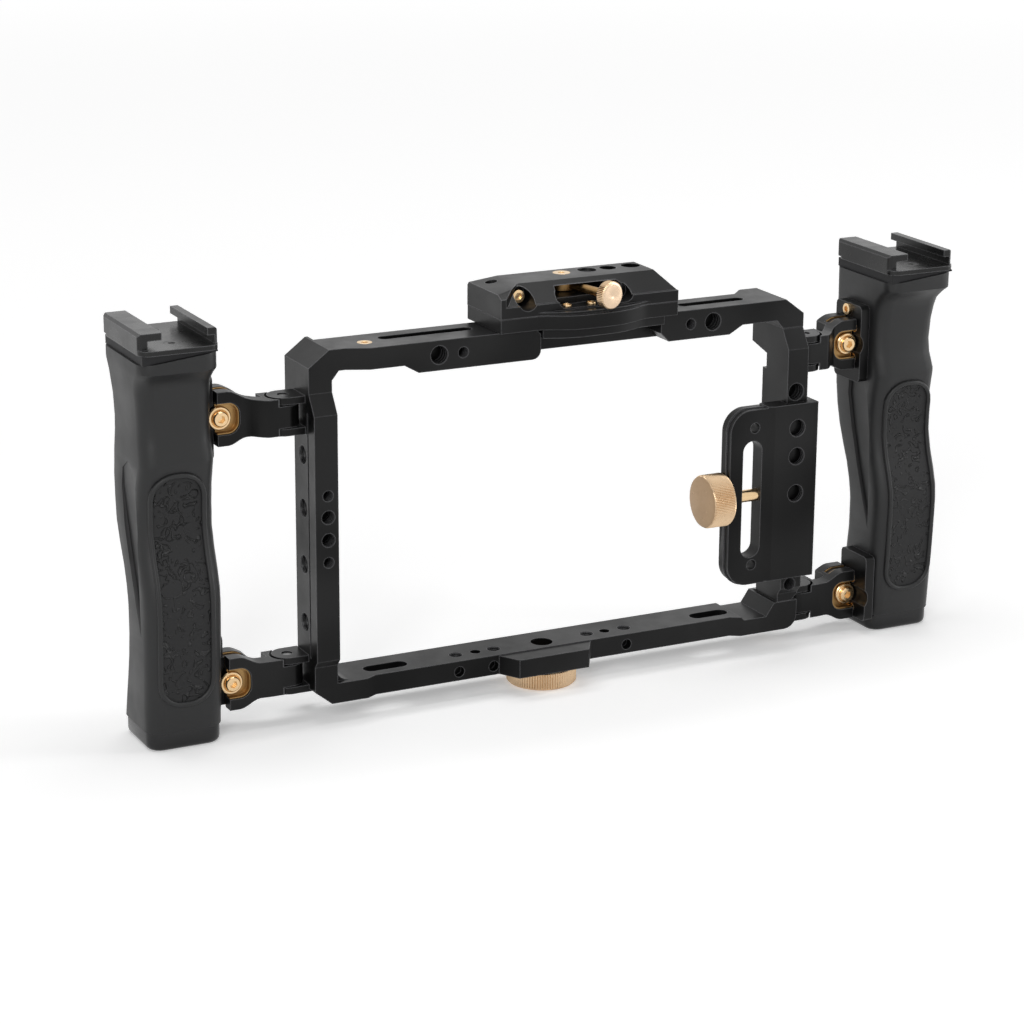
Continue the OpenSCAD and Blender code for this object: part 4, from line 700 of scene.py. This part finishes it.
def lever_knob():
    """The lever's thin knob, with its turned face and fine rim."""
    low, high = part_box("clamp_lever_knob")
    radius, long = LEVER_KNOB_RADIUS, LEVER_KNOB_LONG
    face = turned([(0.3, long - 0.1), (0.5, long), (radius - 0.8, long), (radius - 0.3, long - 0.25)], 72)
    rim = turned([(1.3, 0), (radius - 0.5, 0), (radius, 0.5), (radius, long - 0.6),
                  (radius - 0.3, long - 0.25), (radius - 0.7, long - 0.2)], 96)
    knurled(rim, radius, 0.2, 48)
    out = Vector((math.sin(LEVER_TURN), -math.cos(LEVER_TURN), 0))
    place = PIVOT + out * (LEVER_LENGTH - long) * MM
    place.z = (low.z + high.z) / 2
    faced_knob("lever_knob", "clamp_lever_knob", face, rim, TURNED_Y, place, out)


def clamp_bolts():
    """Flanged clamp bolts: a broad washer face, a raised boss and a hex socket."""
    radius, tall = BOLT_HEAD_RADIUS, BOLT_HEAD_HIGH
    pattern = turned([(radius - 0.35, 0), (radius, 0.3), (radius, 0.75), (radius - 0.25, 1.0), (2.55, 1.0),
                      (2.35, 0.85), (2.2, 1.0), (2.1, tall - 0.3), (1.85, tall)], 48)
    drilled(pattern, hex_key(1.15, tall / 2, tall))
    soft_normals(pattern, 30)
    for side in ("left", "right"):
        node = "clamp_bolts_" + side
        low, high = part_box(node)
        heads = []
        for z, y in ((high.z - radius * MM, low.y + UPPER_BOLT_BACK * MM), (low.z + radius * MM, low.y)):
            head = copy_of(pattern)
            shank = turned([(1.8, -4.95), (1.8, 0.05)], 24)
            soft_normals(shank, 30)
            for piece in (head, shank):
                seat(piece, ((low.x + high.x) / 2, y + tall * MM, z), (0, -1, 0), 12)
                heads.append(piece)
        deliver(join(heads), node + "_turned", "gold_screw", BODY_OF[node], node)
    bpy.data.objects.remove(pattern, do_unlink=True)


def small_screws():
    """Every other fastener, shank and pin, with its edges broken."""
    for node in ("corner_screw", "hook_screw", "clamp_body_screws", "clamp_pivot_screw",
                 "clamp_front_screw", "plate_screws_left", "plate_screws_right", "bridge_screws",
                 "clamp_base_screws", "cap_screw_left", "cap_screw_right", "shoe_screws_left",
                 "shoe_screws_right", "side_screw", "bottom_screw", "clamp_lever", "hinge_pins_left",
                 "hinge_pins_right", "brass_washers_left", "brass_washers_right"):
        piece = cad_copy(node)
        width = PLATE_SCREW_EDGE if node.startswith("plate") else SCREW_EDGE
        break_edges(piece, width * MM, segments=3)
        deliver(piece, node + "_finished", SLOT_OF[node], BODY_OF[node], node)


# Threads in the open holes
def on_post(x, heights):
    """Mouths of holes in a post's front, at heights over the frame's bottom."""
    return [(x * MM, POST_FRONT, FRAME_BOTTOM + height * MM) for height in heights]


def on_brackets(left_x, right_x):
    """Mouths of two holes, one in each top bracket's front."""
    return [(left_x * MM, LEFT_BRACKET_FRONT, BRACKET_HOLE_Z),
            (right_x * MM, RIGHT_BRACKET_FRONT, BRACKET_HOLE_Z)]


def threads():
    """Thread ridges in each row of holes; every row is one piece."""
    left, front, up = (-1, 0, 0), (0, -1, 0), (0, 0, 1)
    side_row = [(-POST_SIDE_X * MM, SIDE_HOLE_Y, FRAME_BOTTOM + height * MM) for height in SIDE_HOLE_HEIGHTS]
    medium_pair = on_post(-POST_X, FRONT_MEDIUM_HEIGHTS)
    small_pair = on_post(-POST_X, FRONT_SMALL_HEIGHTS)
    high_hole = on_post(POST_X, [RIGHT_HIGH_HEIGHT])
    low_hole = on_post(POST_X, [RIGHT_LOW_HEIGHT])
    large_bracket_pair = on_brackets(LEFT_BRACKET_LARGE_X, RIGHT_BRACKET_LARGE_X)
    small_bracket_pair = on_brackets(LEFT_BRACKET_SMALL_X, RIGHT_BRACKET_SMALL_X)
    rail_row = [((THUMB_X + shift) * MM, RAIL_HOLE_Y, RAIL_TOP) for shift in RAIL_HOLES_FROM_THUMB]
    pad_row = [(PAD_HOLE_X * MM, PAD_FRONT, WING_BOTTOM + height * MM) for height in PAD_HOLE_HEIGHTS]
    rows = {
        "left_post_side_threads": (LARGE_BORE, 6.6, LARGE_PITCH, left, side_row),
        "left_post_front_threads": (MEDIUM_BORE, 4.0, MEDIUM_PITCH, front, medium_pair),
        "left_post_small_threads": (SMALL_BORE, 4.0, SMALL_PITCH, front, small_pair),
        "right_post_threads": (LARGE_BORE, 4.0, LARGE_PITCH, front, high_hole),
        "right_post_low_threads": (MEDIUM_BORE, 4.0, MEDIUM_PITCH, front, low_hole),
        "bracket_threads": (LARGE_BORE, 4.0, LARGE_PITCH, front, large_bracket_pair),
        "bracket_small_threads": (SMALL_BORE, 4.0, SMALL_PITCH, front, small_bracket_pair),
        "rail_threads": (MEDIUM_BORE, 5.5, MEDIUM_PITCH, up, rail_row),
        "pad_threads": (LARGE_BORE, 2.0, PAD_PITCH, front, pad_row),
    }
    for name, (bore, length, pitch, axis, mouths) in rows.items():
        pattern = thread(bore, length, pitch)
        rings = []
        for mouth in mouths:
            ring = copy_of(pattern)
            seat(ring, mouth, axis)
            rings.append(ring)
        bpy.data.objects.remove(pattern, do_unlink=True)
        row = join(rings)
        soft_normals(row, 20)
        deliver(row, name, "black_anodised", "side_bracket" if name == "pad_threads" else "cage_frame")


set_up_camera()
set_up_light()
set_up_floor()
machined_parts()
handle_shells()
inlay_lips()
slotted_bracket()
side_knob()
bottom_knob()
lever_knob()
clamp_bolts()
small_screws()
threads()
for node, part in nodes.items():
    if not part.hide_render:
        part.data.materials.clear()
        part.data.materials.append(FINISHES[SLOT_OF[node]])

bpy.context.scene.view_settings.view_transform = "Standard"
